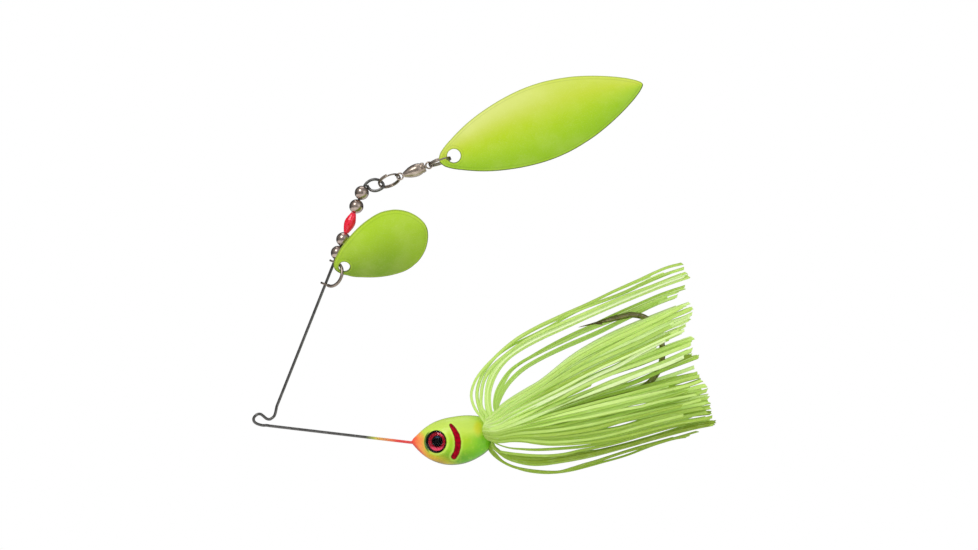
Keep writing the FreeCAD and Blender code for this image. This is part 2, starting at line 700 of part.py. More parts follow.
# ---------------------------------------------------------------- skirt: five soft lobes of strands
# name, y at the root, y at the tip, and rows of
# (x, z, half depth across the lobe's path, half breadth along Y)
LOBES = [
    ("skirt_top", -1.7, -1.9, [
        (55.537, 2.439, 1.2, 1.7), (54.561, 5.122, 1.6, 2.2), (54.927, 8.537, 1.9, 2.6),
        (57.366, 13.902, 2.2, 3.0), (63.220, 20.488, 2.3, 3.4), (71.512, 25.976, 2.3, 3.8),
        (83.220, 31.220, 2.2, 4.2), (94.195, 34.512, 1.9, 4.4), (104.683, 36.463, 1.3, 4.0)]),
    ("skirt_upper", 3.2, 4.0, [
        (57.610, 2.683, 0.8, 1.3), (58.951, 6.585, 1.0, 1.6), (62.488, 11.707, 1.2, 2.0),
        (69.073, 16.220, 1.3, 2.3), (77.122, 20.122, 1.3, 2.5), (86.878, 24.512, 1.2, 2.7),
        (95.415, 27.927, 1.0, 2.8), (103.707, 31.341, 0.8, 2.6)]),
    ("skirt_near", -4.6, -7.2, [
        (61.024, -1.951, 1.0, 1.2), (63.707, -0.488, 2.6, 1.6), (69.805, 1.951, 6.0, 2.4),
        (78.341, 4.146, 9.4, 3.2), (88.098, 6.829, 11.2, 3.8), (97.854, 9.268, 12.6, 4.2),
        (107.610, 11.463, 14.2, 4.2), (111.512, 12.195, 12.6, 3.4)]),
    ("skirt_far", 4.6, 7.4, [
        (61.024, -1.951, 1.0, 1.2), (63.707, -0.976, 2.2, 1.6), (69.805, 0.976, 4.6, 2.3),
        (78.341, 3.171, 7.2, 3.0), (88.098, 5.854, 9.2, 3.6), (97.854, 8.293, 10.8, 3.9),
        (107.610, 10.732, 12.2, 3.9), (111.024, 11.463, 10.8, 3.2)]),
    ("skirt_bottom", 0.0, 0.0, [
        (58.098, -8.171, 1.0, 1.5), (61.756, -10.000, 1.6, 2.6), (68.585, -11.829, 1.8, 4.0),
        (75.902, -11.829, 1.9, 5.0), (84.439, -10.244, 1.9, 5.6), (95.415, -6.951, 1.8, 5.8),
        (105.171, -4.878, 1.6, 5.4), (111.756, -3.780, 1.0, 4.4)]),
]
SPREAD_RATE = 1.6  # a lobe reaches its tip's y at 1 / 1.6 of its rows


def lobe(name, root_y, tip_y, rows):
    made = body(name)
    path = [vec(x, 0, z) for x, z, _, _ in rows]
    last = len(rows) - 1
    sections = []
    for k, (_, _, depth, breadth) in enumerate(rows):
        along = unit(path[min(k + 1, last)] - path[max(k - 1, 0)])
        spread = min(1.0, k / last * SPREAD_RATE)
        centre = path[k] + vec(0, root_y + (tip_y - root_y) * spread, 0)
        place = Placement(centre, frame(Y_AXIS, quarter_turn(along)))
        sections.append(ellipse_section(made, f"{name}_section_{k}", place, breadth, depth))
    loft(made, name + "_lobe", sections)


for lobe_row in LOBES:
    lobe(*lobe_row)

# ---------------------------------------------------------------- check every piece, then write it
doc.recompute()
for item in doc.Objects:
    if {"Invalid", "Error"} & set(item.State):
        raise RuntimeError(f"{item.Name} is {item.State}")
for piece in MADE:
    shape = piece.Shape
    if shape.isNull() or not shape.isValid() or not shape.Solids or shape.Volume <= 0:
        raise RuntimeError(f"{piece.Label} has no valid solid")
for piece in MADE:
    piece.Shape.exportStep(f"parts/{piece.Label}.step")
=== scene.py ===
"""A spinnerbait lure: bent wire arms, beads and two spinning blades over a painted head.

Metres, +Z up. The nose points to -X; the hook and the silicone skirt trail towards +X.
The near (left) side faces -Y, where the camera stands. Sizes are in millimetres and turned
into metres by MM. "Arm" is the steep upper wire, "lower wire" the one that enters the head.
"""

import math
import random

import bpy
import numpy as np
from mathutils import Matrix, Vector


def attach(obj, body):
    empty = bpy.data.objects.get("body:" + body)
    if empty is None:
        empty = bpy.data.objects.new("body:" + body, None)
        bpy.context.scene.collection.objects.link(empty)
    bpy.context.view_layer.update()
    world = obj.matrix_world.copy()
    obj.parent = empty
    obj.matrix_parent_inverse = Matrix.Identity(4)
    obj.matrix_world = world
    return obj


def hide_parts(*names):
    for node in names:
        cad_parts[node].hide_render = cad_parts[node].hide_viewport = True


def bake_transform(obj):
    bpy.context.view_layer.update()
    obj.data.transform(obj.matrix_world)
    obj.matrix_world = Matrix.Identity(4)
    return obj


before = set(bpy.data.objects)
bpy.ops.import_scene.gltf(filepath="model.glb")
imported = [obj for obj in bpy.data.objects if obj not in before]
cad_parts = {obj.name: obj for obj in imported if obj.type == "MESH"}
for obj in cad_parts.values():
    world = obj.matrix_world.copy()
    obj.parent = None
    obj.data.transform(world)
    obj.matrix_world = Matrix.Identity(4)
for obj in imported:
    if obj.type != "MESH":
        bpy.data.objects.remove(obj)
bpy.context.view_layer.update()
random.seed(11)
SCENE = bpy.context.scene
DEG = math.pi / 180
MM = 1e-3


# ---------------------------------------------------------------- vectors and curves
def unit(vector):
    vector = np.asarray(vector, float)
    return vector / (np.linalg.norm(vector) + 1e-15)


def square_to(vector, tangent):
    """The part of a vector at right angles to a unit tangent."""
    return vector - tangent * (vector @ tangent)


def point(x, y, z):
    return np.array([x, y, z]) * MM


def heading(degrees):
    """Unit vector in the XZ plane, raised from +X."""
    return np.array([math.cos(degrees * DEG), 0, math.sin(degrees * DEG)])


def arc_length(path):
    return np.r_[0, np.cumsum(np.linalg.norm(np.diff(path, axis=0), axis=1))]


def curve(points, count):
    """Evenly spaced points along a smooth curve through the given ones (any dimension)."""
    points = np.asarray(points, float)
    steps = np.diff(points, axis=0)
    gaps = np.linalg.norm(steps, axis=1)[:, None] ** 0.5
    slopes = steps / gaps
    inner = (gaps[1:] * slopes[:-1] + gaps[:-1] * slopes[1:]) / (gaps[1:] + gaps[:-1])
    slopes = np.vstack([slopes[:1], inner, slopes[-1:]])
    fine = []
    for i, gap in enumerate(gaps):
        t = np.linspace(0, 1, 24, endpoint=i == len(gaps) - 1)[:, None]
        fine.append((2 * t**3 - 3 * t**2 + 1) * points[i] + (t**3 - 2 * t**2 + t) * gap * slopes[i]
                    + (3 * t**2 - 2 * t**3) * points[i + 1] + (t**3 - t**2) * gap * slopes[i + 1])
    fine = np.vstack(fine)
    length = arc_length(fine)
    wanted = np.linspace(0, length[-1], count)
    return np.stack([np.interp(wanted, length, column) for column in fine.T], 1)


# ---------------------------------------------------------------- meshes
def ring_faces(rows, sides, closed=False, capped=False):
    """Quads between successive rings of vertices, with optional end caps."""
    faces = []
    for i in range(rows if closed else rows - 1):
        this, after = i * sides, (i + 1) % rows * sides
        for k in range(sides):
            beside = (k + 1) % sides
            faces.append((this + k, this + beside, after + beside, after + k))
    if capped:
        faces.append(tuple(range(sides))[::-1])
        faces.append(tuple((rows - 1) * sides + k for k in range(sides)))
    return faces


def turn_angles(count):
    return np.linspace(0, 2 * np.pi, count, endpoint=False)


def circle(centre, radius, first, second, count):
    """Points round a circle, from the first direction towards the second."""
    angles = turn_angles(count)[:, None]
    return centre + radius * (np.cos(angles) * first + np.sin(angles) * second)


def axis_frame(axis):
    """Two directions square to a unit axis."""
    other = (0, 1, 0) if abs(axis[1]) < 0.9 else (1, 0, 0)
    first = unit(np.cross(other, axis))
    return first, np.cross(axis, first)


def lathe(profile, origin, axis, segments=72, closed=False):
    """Turns (radius, height) points in millimetres about an axis; the origin is in metres."""
    axis = unit(axis)
    first, second = axis_frame(axis)
    rings = [circle(origin + axis * height * MM, radius * MM, first, second, segments)
             for radius, height in profile]
    return np.vstack(rings), ring_faces(len(profile), segments, closed)


def tube(path, radius, sides, first=(0, 1, 0), closed=False):
    """Round tube, its normals carried along the path: verts, faces, length, turn."""
    path = np.asarray(path, float)
    count = len(path)
    if closed:
        tangents = np.roll(path, -1, 0) - np.roll(path, 1, 0)
    else:
        tangents = np.gradient(path, axis=0)
    tangents /= np.linalg.norm(tangents, axis=1)[:, None] + 1e-15
    normals = np.zeros_like(path)
    normals[0] = unit(square_to(np.array(first, float), tangents[0]))
    for i in range(1, count):
        normals[i] = unit(square_to(normals[i - 1], tangents[i]))
    seconds = np.cross(tangents, normals)
    angles = turn_angles(sides)
    spokes = (np.cos(angles)[None, :, None] * normals[:, None]
              + np.sin(angles)[None, :, None] * seconds[:, None])
    verts = path[:, None] + spokes * np.broadcast_to(radius, count)[:, None, None]
    return (verts.reshape(-1, 3), ring_faces(count, sides, closed, capped=not closed),
            np.repeat(arc_length(path), sides), np.tile(angles / (2 * np.pi), count))


class Bag:
    """Collects solids into one mesh; every solid carries the same point attributes."""

    def __init__(self):
        self.verts, self.faces, self.attrs, self.count = [], [], {}, 0

    def add(self, verts, faces, **attrs):
        self.verts.append(np.asarray(verts))
        self.faces += [tuple(i + self.count for i in face) for face in faces]
        for name, values in attrs.items():
            self.attrs.setdefault(name, []).append(np.broadcast_to(values, len(verts)))
        self.count += len(verts)

    def tube(self, *args, **options):
        verts, faces, along, _ = tube(*args, **options)
        self.add(verts, faces, along=along)

    def parts(self):
        attrs = {name: np.concatenate(values) for name, values in self.attrs.items()}
        return np.vstack(self.verts), self.faces, attrs

    def piece(self, name, slot, body="frame"):
        verts, faces, attrs = self.parts()
        piece(name, verts, faces, slot, body, attrs=attrs)


def mesh_object(name, verts, faces, material=None, attrs=None):
    mesh = bpy.data.meshes.new(name)
    mesh.from_pydata([tuple(map(float, v)) for v in verts], [],
                     [tuple(map(int, face)) for face in faces])
    mesh.update()
    obj = bpy.data.objects.new(name, mesh)
    SCENE.collection.objects.link(obj)
    for key, values in (attrs or {}).items():
        layer = mesh.attributes.new(key, "FLOAT", "POINT")
        layer.data.foreach_set("value", np.asarray(values, np.float32))
    if material is not None:
        mesh.materials.append(material)
    return obj


def shade_smooth(obj, sharp):
    """Smooth shading that breaks at edges steeper than `sharp` degrees."""
    for polygon in obj.data.polygons:
        polygon.use_smooth = True
    obj.data.set_sharp_from_angle(angle=sharp * DEG)


def place(obj, body, replaces=None):
    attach(obj, body)
    if replaces:
        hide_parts(replaces)


def piece(name, verts, faces, slot, body="frame", attrs=None, sharp=40, replace=True):
    """A finished look that stands in for the CAD piece of the same name."""
    obj = mesh_object(name + "_look", verts, faces, LOOKS[slot], attrs)
    shade_smooth(obj, sharp)
    place(obj, body, name if replace else None)


def cut_round(obj, centre, axis, radius, half, segments):
    """Cuts a round hole with an exact boolean; sizes in metres."""
    outline = [(radius / MM, -half / MM), (radius / MM, half / MM)]
    verts, _ = lathe(outline, centre, axis, segments)
    cutter = mesh_object("cutter", verts, ring_faces(2, segments, capped=True))
    modifier = obj.modifiers.new("cut", "BOOLEAN")
    modifier.object, modifier.operation, modifier.solver = cutter, "DIFFERENCE", "EXACT"
    graph = bpy.context.evaluated_depsgraph_get()
    mesh = bpy.data.meshes.new_from_object(obj.evaluated_get(graph), preserve_all_data_layers=True,
                                           depsgraph=graph)
    obj.modifiers.clear()
    old = obj.data
    obj.data = mesh
    bpy.data.meshes.remove(old)
    bpy.data.objects.remove(cutter)


# ---------------------------------------------------------------- shader helper
def colour(value):
    """An sRGB triple of 0-255 as linear RGBA; sockets pass through."""
    if isinstance(value, bpy.types.NodeSocket):
        return value
    parts = [c / 255 for c in value]
    linear = [c / 12.92 if c <= 0.04045 else ((c + 0.055) / 1.055) ** 2.4 for c in parts]
    return (*linear, 1.0)


class Nodes:
    """Writes a node tree as nested calls; arguments may be numbers or sockets."""

    # The paint marks lie on a grid in the XZ plane: steps per metre, then the grid
    # coordinates of the object's origin. Grid y runs down.
    GRID, GRID_X, GRID_Y = 4100.0, 258.8, 419.0

    def __init__(self, owner):
        self.owner = owner
        owner.use_nodes = True
        self.tree = owner.node_tree
        self.tree.nodes.clear()
        self.position = None

    def node(self, kind, **props):
        node = self.tree.nodes.new("ShaderNode" + kind)
        for name, value in props.items():
            setattr(node, name, value)
        return node

    def put(self, socket, value):
        if isinstance(value, bpy.types.NodeSocket):
            self.tree.links.new(value, socket)
        else:
            socket.default_value = value

    def fill(self, node, *values):
        """Fills a node's first inputs in order and returns its first output."""
        for socket, value in zip(node.inputs, values):
            self.put(socket, value)
        return node.outputs[0]

    def math(self, operation, *values, clamp=False):
        return self.fill(self.node("Math", operation=operation, use_clamp=clamp), *values)

    def add(self, a, b):
        return self.math("ADD", a, b)

    def sub(self, a, b):
        return self.math("SUBTRACT", a, b)

    def mul(self, a, b):
        return self.math("MULTIPLY", a, b)

    def vary(self, value, amount, base):
        """base + value * amount"""
        return self.add(self.mul(value, amount), base)

    def smooth(self, value, start, end, low=0.0, high=1.0):
        """Eases from low to high as the value goes from start to end."""
        node = self.node("MapRange", interpolation_type="SMOOTHSTEP")
        return self.fill(node, value, start, end, low, high)

    def mix(self, factor, a, b):
        node = self.node("Mix", data_type="RGBA", blend_type="MIX", clamp_factor=True)
        self.put(node.inputs[0], factor)
        self.put(node.inputs[6], colour(a))
        self.put(node.inputs[7], colour(b))
        return node.outputs[2]

    def tint(self, base, mask, over, amount=None):
        """Lays a colour over the base where the mask is, at a given strength."""
        if amount is not None:
            mask = self.mul(mask, amount)
        return self.mix(mask, base, over)

    def ramp(self, factor, stops):
        """stops: position, then the sRGB colour there."""
        node = self.node("ValToRGB")
        elements = node.color_ramp.elements
        for element, stop in ((elements[0], stops[0]), (elements[1], stops[-1])):
            element.position, element.color = stop[0], colour(stop[1:])
        for stop in stops[1:-1]:
            elements.new(stop[0]).color = colour(stop[1:])
        return self.fill(node, factor)

    def attr(self, name):
        return self.node("Attribute", attribute_name=name).outputs["Fac"]

    def here(self):
        """Object coordinates, from one shared node."""
        if self.position is None:
            self.position = self.node("TexCoord").outputs["Object"]
        return self.position

    def paint_grid(self):
        split = self.node("SeparateXYZ")
        self.fill(split, self.here())
        return (self.math("MULTIPLY_ADD", split.outputs[0], self.GRID, self.GRID_X),
                self.math("MULTIPLY_ADD", split.outputs[2], -self.GRID, self.GRID_Y))

    def combine(self, x, y, z):
        return self.fill(self.node("CombineXYZ"), x, y, z)

    def stretched(self, stretch):
        return self.fill(self.node("VectorMath", operation="MULTIPLY"), self.here(), stretch)

    def noise(self, scale, detail=3.0, rough=0.5, stretch=None, vector=None):
        node = self.node("TexNoise")
        if vector is None:
            vector = self.stretched(stretch) if stretch else self.here()
        for name, value in (("Vector", vector), ("Scale", scale), ("Detail", detail),
                            ("Roughness", rough)):
            self.put(node.inputs[name], value)
        return node.outputs["Fac"]

    def cells(self, scale, channel, stretch=None):
        """One colour channel of random cells."""
        node = self.node("TexVoronoi")
        self.put(node.inputs["Vector"], self.stretched(stretch) if stretch else self.here())
        node.inputs["Scale"].default_value = scale
        split = self.node("SeparateColor")
        self.fill(split, node.outputs["Color"])
        return split.outputs[channel]

    def facing(self, blend):
        """0 where the surface faces the viewer, 1 where it turns away."""
        node = self.node("LayerWeight")
        node.inputs["Blend"].default_value = blend
        return node.outputs["Facing"]

    def bump(self, height, strength, distance):
        node = self.node("Bump")
        for name, value in (("Strength", strength), ("Distance", distance), ("Height", height)):
            self.put(node.inputs[name], value)
        return node.outputs[0]

    def distance(self, x, y, centre_x, centre_y, size_x=1.0, size_y=1.0):
        dx = self.mul(self.sub(x, centre_x), 1 / size_x)
        dy = self.mul(self.sub(y, centre_y), 1 / size_y)
        return self.length(dx, dy)

    def length(self, dx, dy):
        return self.math("SQRT", self.add(self.mul(dx, dx), self.mul(dy, dy)))

    def surface(self, **inputs):
        node = self.node("BsdfPrincipled")
        for name, value in inputs.items():
            self.put(node.inputs[name.replace("_", " ")], value)
        return node.outputs[0]

    def mix_shader(self, factor, first, second):
        return self.fill(self.node("MixShader"), factor, first, second)

    def finish(self, shader, output="OutputMaterial"):
        self.put(self.node(output).inputs["Surface"], shader)
        return self.owner


def new_material(name):
    return Nodes(bpy.data.materials.new(name))


# ---------------------------------------------------------------- materials
def metal(name, main, dark, rough, scale, wear, rim):
    """Clouded metal; wear is the strength of the scratches, rim of the painted dark reflection at
    the outline.
    """
    mat = new_material(name)
    cloud = mat.noise(scale * 0.5, detail=4, rough=0.6)
    fine = mat.noise(scale * 6, detail=2)
    scratch = mat.noise(scale * 3, detail=2, rough=0.6, stretch=(1.0, 7.0, 0.35))
    base = mat.mix(mat.smooth(cloud, 0.35, 0.7), main, dark)
    base = mat.tint(base, mat.smooth(scratch, 0.55, 0.72), (205, 198, 188), wear)
    # painted dark reflection: the metal darkens towards its outline as it turns away
    base = mat.tint(base, mat.smooth(mat.facing(0.35), 0.26, 0.78), (26, 22, 20), rim)
    height = mat.add(mat.mul(scratch, 0.6), mat.mul(fine, 0.4))
    return mat.finish(mat.surface(
        Base_Color=base, Metallic=1.0, Roughness=mat.vary(fine, 0.16, rough - 0.05),
        Normal=mat.bump(height, strength=0.12, distance=0.00004)))


def wire_paint():
    """Bare steel; the lower wire is sprayed from green to red towards the head."""
    mat = new_material("spring_wire")
    x, y = mat.paint_grid()
    streak = mat.noise(5200, rough=0.6, stretch=(0.25, 1.0, 0.25))
    spots = mat.noise(1500, detail=4, rough=0.65)
    steel = mat.mix(mat.smooth(streak, 0.35, 0.7), (116, 115, 114), (86, 85, 84))
    steel = mat.tint(steel, mat.smooth(spots, 0.52, 0.7), (148, 147, 145), amount=0.5)
    # painted dark reflection: the steel darkens towards its outline
    steel = mat.tint(steel, mat.smooth(mat.facing(0.35), 0.25, 0.9), (24, 23, 22), amount=0.85)
    ragged_x = mat.add(x, mat.mul(mat.noise(900, rough=0.6), 7.0))
    paint = mat.ramp(mat.mul(mat.sub(ragged_x, 366.0), 1 / 50.0), [
        (0.0, 150, 190, 60), (0.22, 196, 204, 60), (0.36, 235, 170, 70),
        (0.55, 238, 120, 70), (0.72, 226, 48, 44), (1.0, 222, 60, 60)])
    # painted shade: the paint darkens to a deeper red where it turns away at the outline
    paint = mat.tint(paint, mat.smooth(mat.facing(0.3), 0.4, 0.95), (120, 30, 30), amount=0.5)
    cover = mat.mul(mat.smooth(y, 428, 431), mat.smooth(ragged_x, 367, 380))
    # thin overspray: the steel shows through in flecks near its front edge
    fleck = mat.smooth(mat.noise(4200, rough=0.7), 0.35, 0.5)
    cover = mat.mul(cover, mat.math("MAXIMUM", fleck, mat.smooth(ragged_x, 380, 398)))
    height = mat.add(streak, mat.mul(spots, 0.5))
    return mat.finish(mat.surface(
        Base_Color=mat.mix(cover, steel, paint),
        Metallic=mat.math("SUBTRACT", 1.0, cover, clamp=True),
        Roughness=mat.vary(spots, 0.12, 0.24),
        Normal=mat.bump(height, strength=0.15, distance=0.00003),
        Coat_Weight=mat.mul(cover, 0.6), Coat_Roughness=0.12))


def blade_paint(name, stops, glow, deep, shine, rough, edge_shade, spread=0.0):
    """Enamel on dished sheet metal.

    u runs along the blade, v across it, rim is the distance to its edge in millimetres.
    glow and deep are (strength, colour) of a painted highlight along the upper side and painted
    shade over the lower side towards the far end; spread strengthens a painted light drift along
    the blade, lighter green towards the far end and darker towards the hole end, set against the
    shading of the dish. stops colour the blade from its lower edge to its upper one, darker below:
    painted shade.
    """
    mat = new_material(name)
    u, v, rim = mat.attr("u"), mat.attr("v"), mat.attr("rim")
    # painted light and shade: darker along the lower edge, lighter towards the upper one
    base = mat.ramp(mat.smooth(v, -1.0, 1.0), stops)
    # painted highlight: a pale sheen along the upper side
    upper = mat.mul(mat.smooth(v, 0.05, 0.85),
                    mat.mul(mat.smooth(u, 0.02, 0.18), mat.smooth(u, 0.78, 0.32)))
    base = mat.tint(base, upper, glow[1], glow[0])
    # painted light: lighter green towards the far end, darker towards the hole end, against the
    # dish's shading
    if spread:
        base = mat.tint(base, mat.smooth(u, 0.45, 1.0), (178, 214, 50), spread)
        base = mat.tint(base, mat.smooth(u, 0.45, 0.1), (128, 160, 36), spread * 0.6)
    # painted shade: a deeper green over the lower side towards the far end
    lower = mat.mul(mat.smooth(u, 0.35, 1.0), mat.smooth(v, 0.7, -0.6))
    base = mat.tint(base, lower, deep[1], deep[0])
    cloud = mat.noise(160, detail=4, rough=0.55)
    base = mat.tint(base, mat.smooth(cloud, 0.35, 0.75), (236, 240, 160), amount=0.10)
    flake = mat.cells(9000, channel=0)
    base = mat.tint(base, mat.smooth(flake, 0.78, 0.95), (250, 252, 200), amount=0.07)
    # painted shade: the groove near the edge is darkened as well as dented in the bump
    groove = mat.mul(mat.smooth(rim, 0.62, 0.74), mat.smooth(rim, 0.92, 0.80))
    base = mat.tint(base, groove, (96, 128, 30), amount=0.18)
    # painted highlight: a bright yellow-green band along the bevelled edge
    base = mat.tint(base, mat.smooth(rim, 0.55, 0.30), (206, 232, 70), amount=0.22)
    # painted shade: a dark olive line along the edge, strongest on the lower side
    edge = mat.mul(mat.smooth(rim, 0.30, 0.15), mat.smooth(v, 0.6, -0.5, 0.5, 1.0))
    base = mat.tint(base, edge, (84, 98, 44), edge_shade)
    # bare worn metal at the hole and the very edge
    worn = mat.mul(mat.smooth(mat.noise(2600, detail=4, rough=0.7), 0.60, 0.68),
                   mat.smooth(rim, 0.16, 0.02))
    base = mat.tint(base, worn, (170, 172, 150), amount=0.5)
    height = mat.add(mat.mul(mat.noise(420), 0.7), mat.mul(mat.noise(5200, detail=2), 0.06))
    height = mat.sub(height, mat.mul(groove, 0.7))
    return mat.finish(mat.surface(
        Base_Color=base, Roughness=mat.vary(mat.noise(700, rough=0.6), 0.12, rough - 0.06),
        Normal=mat.bump(height, strength=0.22, distance=0.0001),
        Coat_Weight=shine, Coat_Roughness=0.30, Specular_IOR_Level=0.2))


# Gill mark on the paint grid: x, y, half thickness
GILL = [(450.9, 424.9, 1.7), (454.0, 429.2, 2.5), (457.0, 435.2, 3.0), (458.1, 441.2, 3.15),
        (457.8, 447.2, 3.05), (456.4, 452.4, 2.9), (454.0, 456.2, 2.95)]


def gill_distance(mat, x, y):
    """Signed distance to the gill mark, with a ragged edge."""
    ragged = mat.mul(mat.sub(mat.noise(3600, rough=0.6), 0.5), 0.7)
    nearest = None
    for (ax, ay, start), (bx, by, end) in zip(GILL, GILL[1:]):
        dx, dy = bx - ax, by - ay
        from_x, from_y = mat.sub(x, ax), mat.sub(y, ay)
        dot = mat.add(mat.mul(from_x, dx), mat.mul(from_y, dy))
        along = mat.math("DIVIDE", dot, dx * dx + dy * dy, clamp=True)
        gap = mat.length(mat.sub(from_x, mat.mul(along, dx)), mat.sub(from_y, mat.mul(along, dy)))
        gap = mat.sub(gap, mat.math("MULTIPLY_ADD", along, end - start, start))
        nearest = gap if nearest is None else mat.math("MINIMUM", nearest, gap)
    return mat.add(nearest, ragged)


def head_paint():
    """Sprayed lead: green body, orange throat, coral nose, an eye ring and a gill mark."""
    mat = new_material("painted_lead")
    x, y = mat.paint_grid()
    wobble = mat.mul(mat.sub(mat.noise(420), 0.5), 5.0)
    wavy_x, wavy_y = mat.add(x, wobble), mat.sub(y, wobble)
    base = mat.ramp(mat.smooth(wavy_y, 414, 466), [
        (0.0, 190, 218, 96), (0.24, 198, 226, 84), (0.5, 174, 212, 34), (0.75, 150, 204, 28),
        (1.0, 96, 150, 26)])
    # green rear, a golden spot high at the rear, green underside
    rear = mat.mul(mat.smooth(wavy_x, 462, 484), mat.smooth(wavy_y, 430, 440))
    base = mat.tint(base, rear, (112, 196, 36), amount=0.85)
    gold = mat.smooth(mat.distance(wavy_x, wavy_y, 478, 427.5, 5.5, 9.0), 1.15, 0.25)
    base = mat.tint(base, gold, (206, 206, 8), amount=0.75)
    under = mat.mul(mat.smooth(wavy_x, 436, 470), mat.smooth(wavy_y, 446, 460))
    base = mat.tint(base, under, (98, 182, 34), amount=0.55)
    # orange throat and coral nose, with a grainy sprayed edge
    spray = mat.mul(mat.sub(mat.noise(2600, detail=4, rough=0.7), 0.5), 4.0)
    throat = mat.add(mat.add(wavy_x, mat.mul(mat.sub(452.0, y), 1.9)), spray)
    base = mat.tint(base, mat.smooth(throat, 446, 418), (206, 190, 34))
    base = mat.tint(base, mat.smooth(throat, 434, 404), (232, 142, 50))
    above = mat.math("MAXIMUM", mat.sub(438.0, y), 0.0)
    nose = mat.add(mat.add(x, spray), mat.mul(above, 0.8))
    base = mat.tint(base, mat.smooth(nose, 430, 420), (248, 156, 82))
    base = mat.tint(base, mat.smooth(nose, 422, 412), (246, 84, 66))
    # painted shade: the lower flank darkens as it turns away
    turned = mat.mul(mat.smooth(mat.facing(0.5), 0.52, 0.84), mat.smooth(y, 441, 449))
    flank_shade = mat.mix(mat.smooth(x, 428, 452), (176, 70, 26), (90, 140, 26))
    base = mat.tint(base, turned, flank_shade, amount=0.62)
    # red line along the lower edge of the nose, then a brown patch under the chin
    lip_line = mat.math("MULTIPLY_ADD", mat.sub(x, 412.0), 0.98, 444.2)
    lip = mat.mul(mat.smooth(mat.sub(lip_line, y), 4.2, 0.8), mat.smooth(x, 430, 419))
    base = mat.tint(base, lip, (206, 40, 44), amount=0.8)
    chin = mat.mul(mat.smooth(y, 456.5, 462.5),
                   mat.mul(mat.smooth(x, 424, 430), mat.smooth(x, 450, 440)))
    base = mat.tint(base, chin, (150, 130, 30), amount=0.6)
    # pale ring round the eye with a shaded green crescent at its front
    eye = mat.distance(x, y, 436.9, 441.4, 0.92, 1.0)
    ring = mat.mul(mat.smooth(eye, 10.8, 11.4), mat.smooth(eye, 15.0, 12.2))
    base = mat.tint(base, ring, (204, 240, 92), amount=0.70)
    front = mat.distance(x, y, 434.4, 441.8, 0.92, 1.1)
    crescent = mat.mul(mat.smooth(front, 11.6, 10.6), mat.smooth(x, 431, 427))
    base = mat.tint(base, crescent, (40, 104, 30), amount=0.9)
    # gill mark with a dark border and a pale surround
    near = gill_distance(mat, x, y)
    gill = mat.smooth(near, 0.45, -0.35)
    red = mat.mix(mat.smooth(mat.noise(1500, rough=0.6), 0.35, 0.7), (176, 0, 30), (120, 0, 24))
    red = mat.tint(red, mat.smooth(near, -1.1, 0.0), (70, 14, 14))
    base = mat.tint(base, mat.smooth(near, 3.0, 0.8), (206, 236, 100), amount=0.40)
    base = mat.tint(base, gill, red)
    # mottled enamel, and painted shade: a thin dark band where the surface turns away at the
    # outline
    mottle = mat.noise(900, detail=4, rough=0.6)
    patches = mat.mul(mat.smooth(mottle, 0.5, 0.72), mat.sub(1.0, gill))
    base = mat.tint(base, patches, (228, 232, 100), amount=0.14)
    # painted shade at the outline, reddish at the nose and olive behind it
    rim = mat.smooth(mat.facing(0.5), mat.smooth(y, 440, 452, 0.76, 0.60),
                     mat.smooth(y, 440, 452, 0.93, 0.84))
    outline = mat.mix(mat.smooth(x, 420, 432), (120, 8, 14), (56, 70, 14))
    base = mat.tint(base, rim, outline, amount=0.92)
    height = mat.add(mat.mul(mat.noise(700, detail=4, rough=0.6), 0.8), mat.mul(gill, -0.5))
    gloss = mat.sub(1.0, mat.mul(gill, 0.85))
    return mat.finish(mat.surface(
        Base_Color=base, Roughness=mat.vary(mottle, 0.16, 0.24),
        Normal=mat.bump(height, strength=0.25, distance=0.0001),
        Specular_IOR_Level=mat.mul(gloss, 0.2), Coat_Weight=mat.mul(gloss, 0.22),
        Coat_Roughness=0.18))


def foil_print():
    """Eye print: black pupil, rayed red iris and a black border."""
    mat = new_material("printed_foil")
    x, y = mat.paint_grid()
    # the eye turns towards the nose, so its discs are narrower in x
    disc = mat.distance(x, y, 436.9, 441.4, 0.92, 1.0)
    pupil = mat.distance(x, y, 437.3, 440.9, 0.97, 1.0)
    angle = mat.math("ARCTAN2", mat.sub(x, 437.3), mat.sub(y, 440.9))
    polar = mat.combine(mat.mul(angle, 4.0), mat.mul(pupil, 0.05), 0.0)
    ray = mat.noise(2.2, rough=0.6, vector=polar)
    base = mat.mix(mat.smooth(ray, 0.35, 0.65), (206, 8, 40), (112, 2, 24))
    # bright arcs below and above the pupil
    upper = mat.mul(mat.smooth(y, 437.5, 434.0), mat.smooth(x, 436.0, 440.0))
    arcs = mat.math("MAXIMUM", mat.smooth(y, 445.0, 448.5), upper)
    band = mat.mul(mat.smooth(pupil, 6.4, 7.4), mat.smooth(disc, 9.6, 8.8))
    base = mat.tint(base, mat.mul(arcs, band), (255, 84, 116), amount=0.95)
    glint = mat.cells(5200, channel=1, stretch=(1.0, 0.0, 1.0))
    base = mat.tint(base, mat.smooth(glint, 0.7, 0.95), (255, 120, 130), amount=0.25)
    base = mat.tint(base, mat.smooth(pupil, 6.2, 5.4), (1, 2, 5))
    base = mat.tint(base, mat.smooth(disc, 8.9, 9.5), (4, 1, 3))
    # painted highlight: a small bluish reflection above the pupil
    spot = mat.smooth(mat.distance(x, y, 437.4, 436.9, 2.6, 1.1), 1.2, 0.3)
    base = mat.tint(base, spot, (84, 110, 140), amount=0.6)
    return mat.finish(mat.surface(
        Base_Color=base, Roughness=mat.vary(ray, 0.2, 0.2), Metallic=0.0,
        Normal=mat.bump(ray, strength=0.1, distance=0.00003), Specular_IOR_Level=0.06))


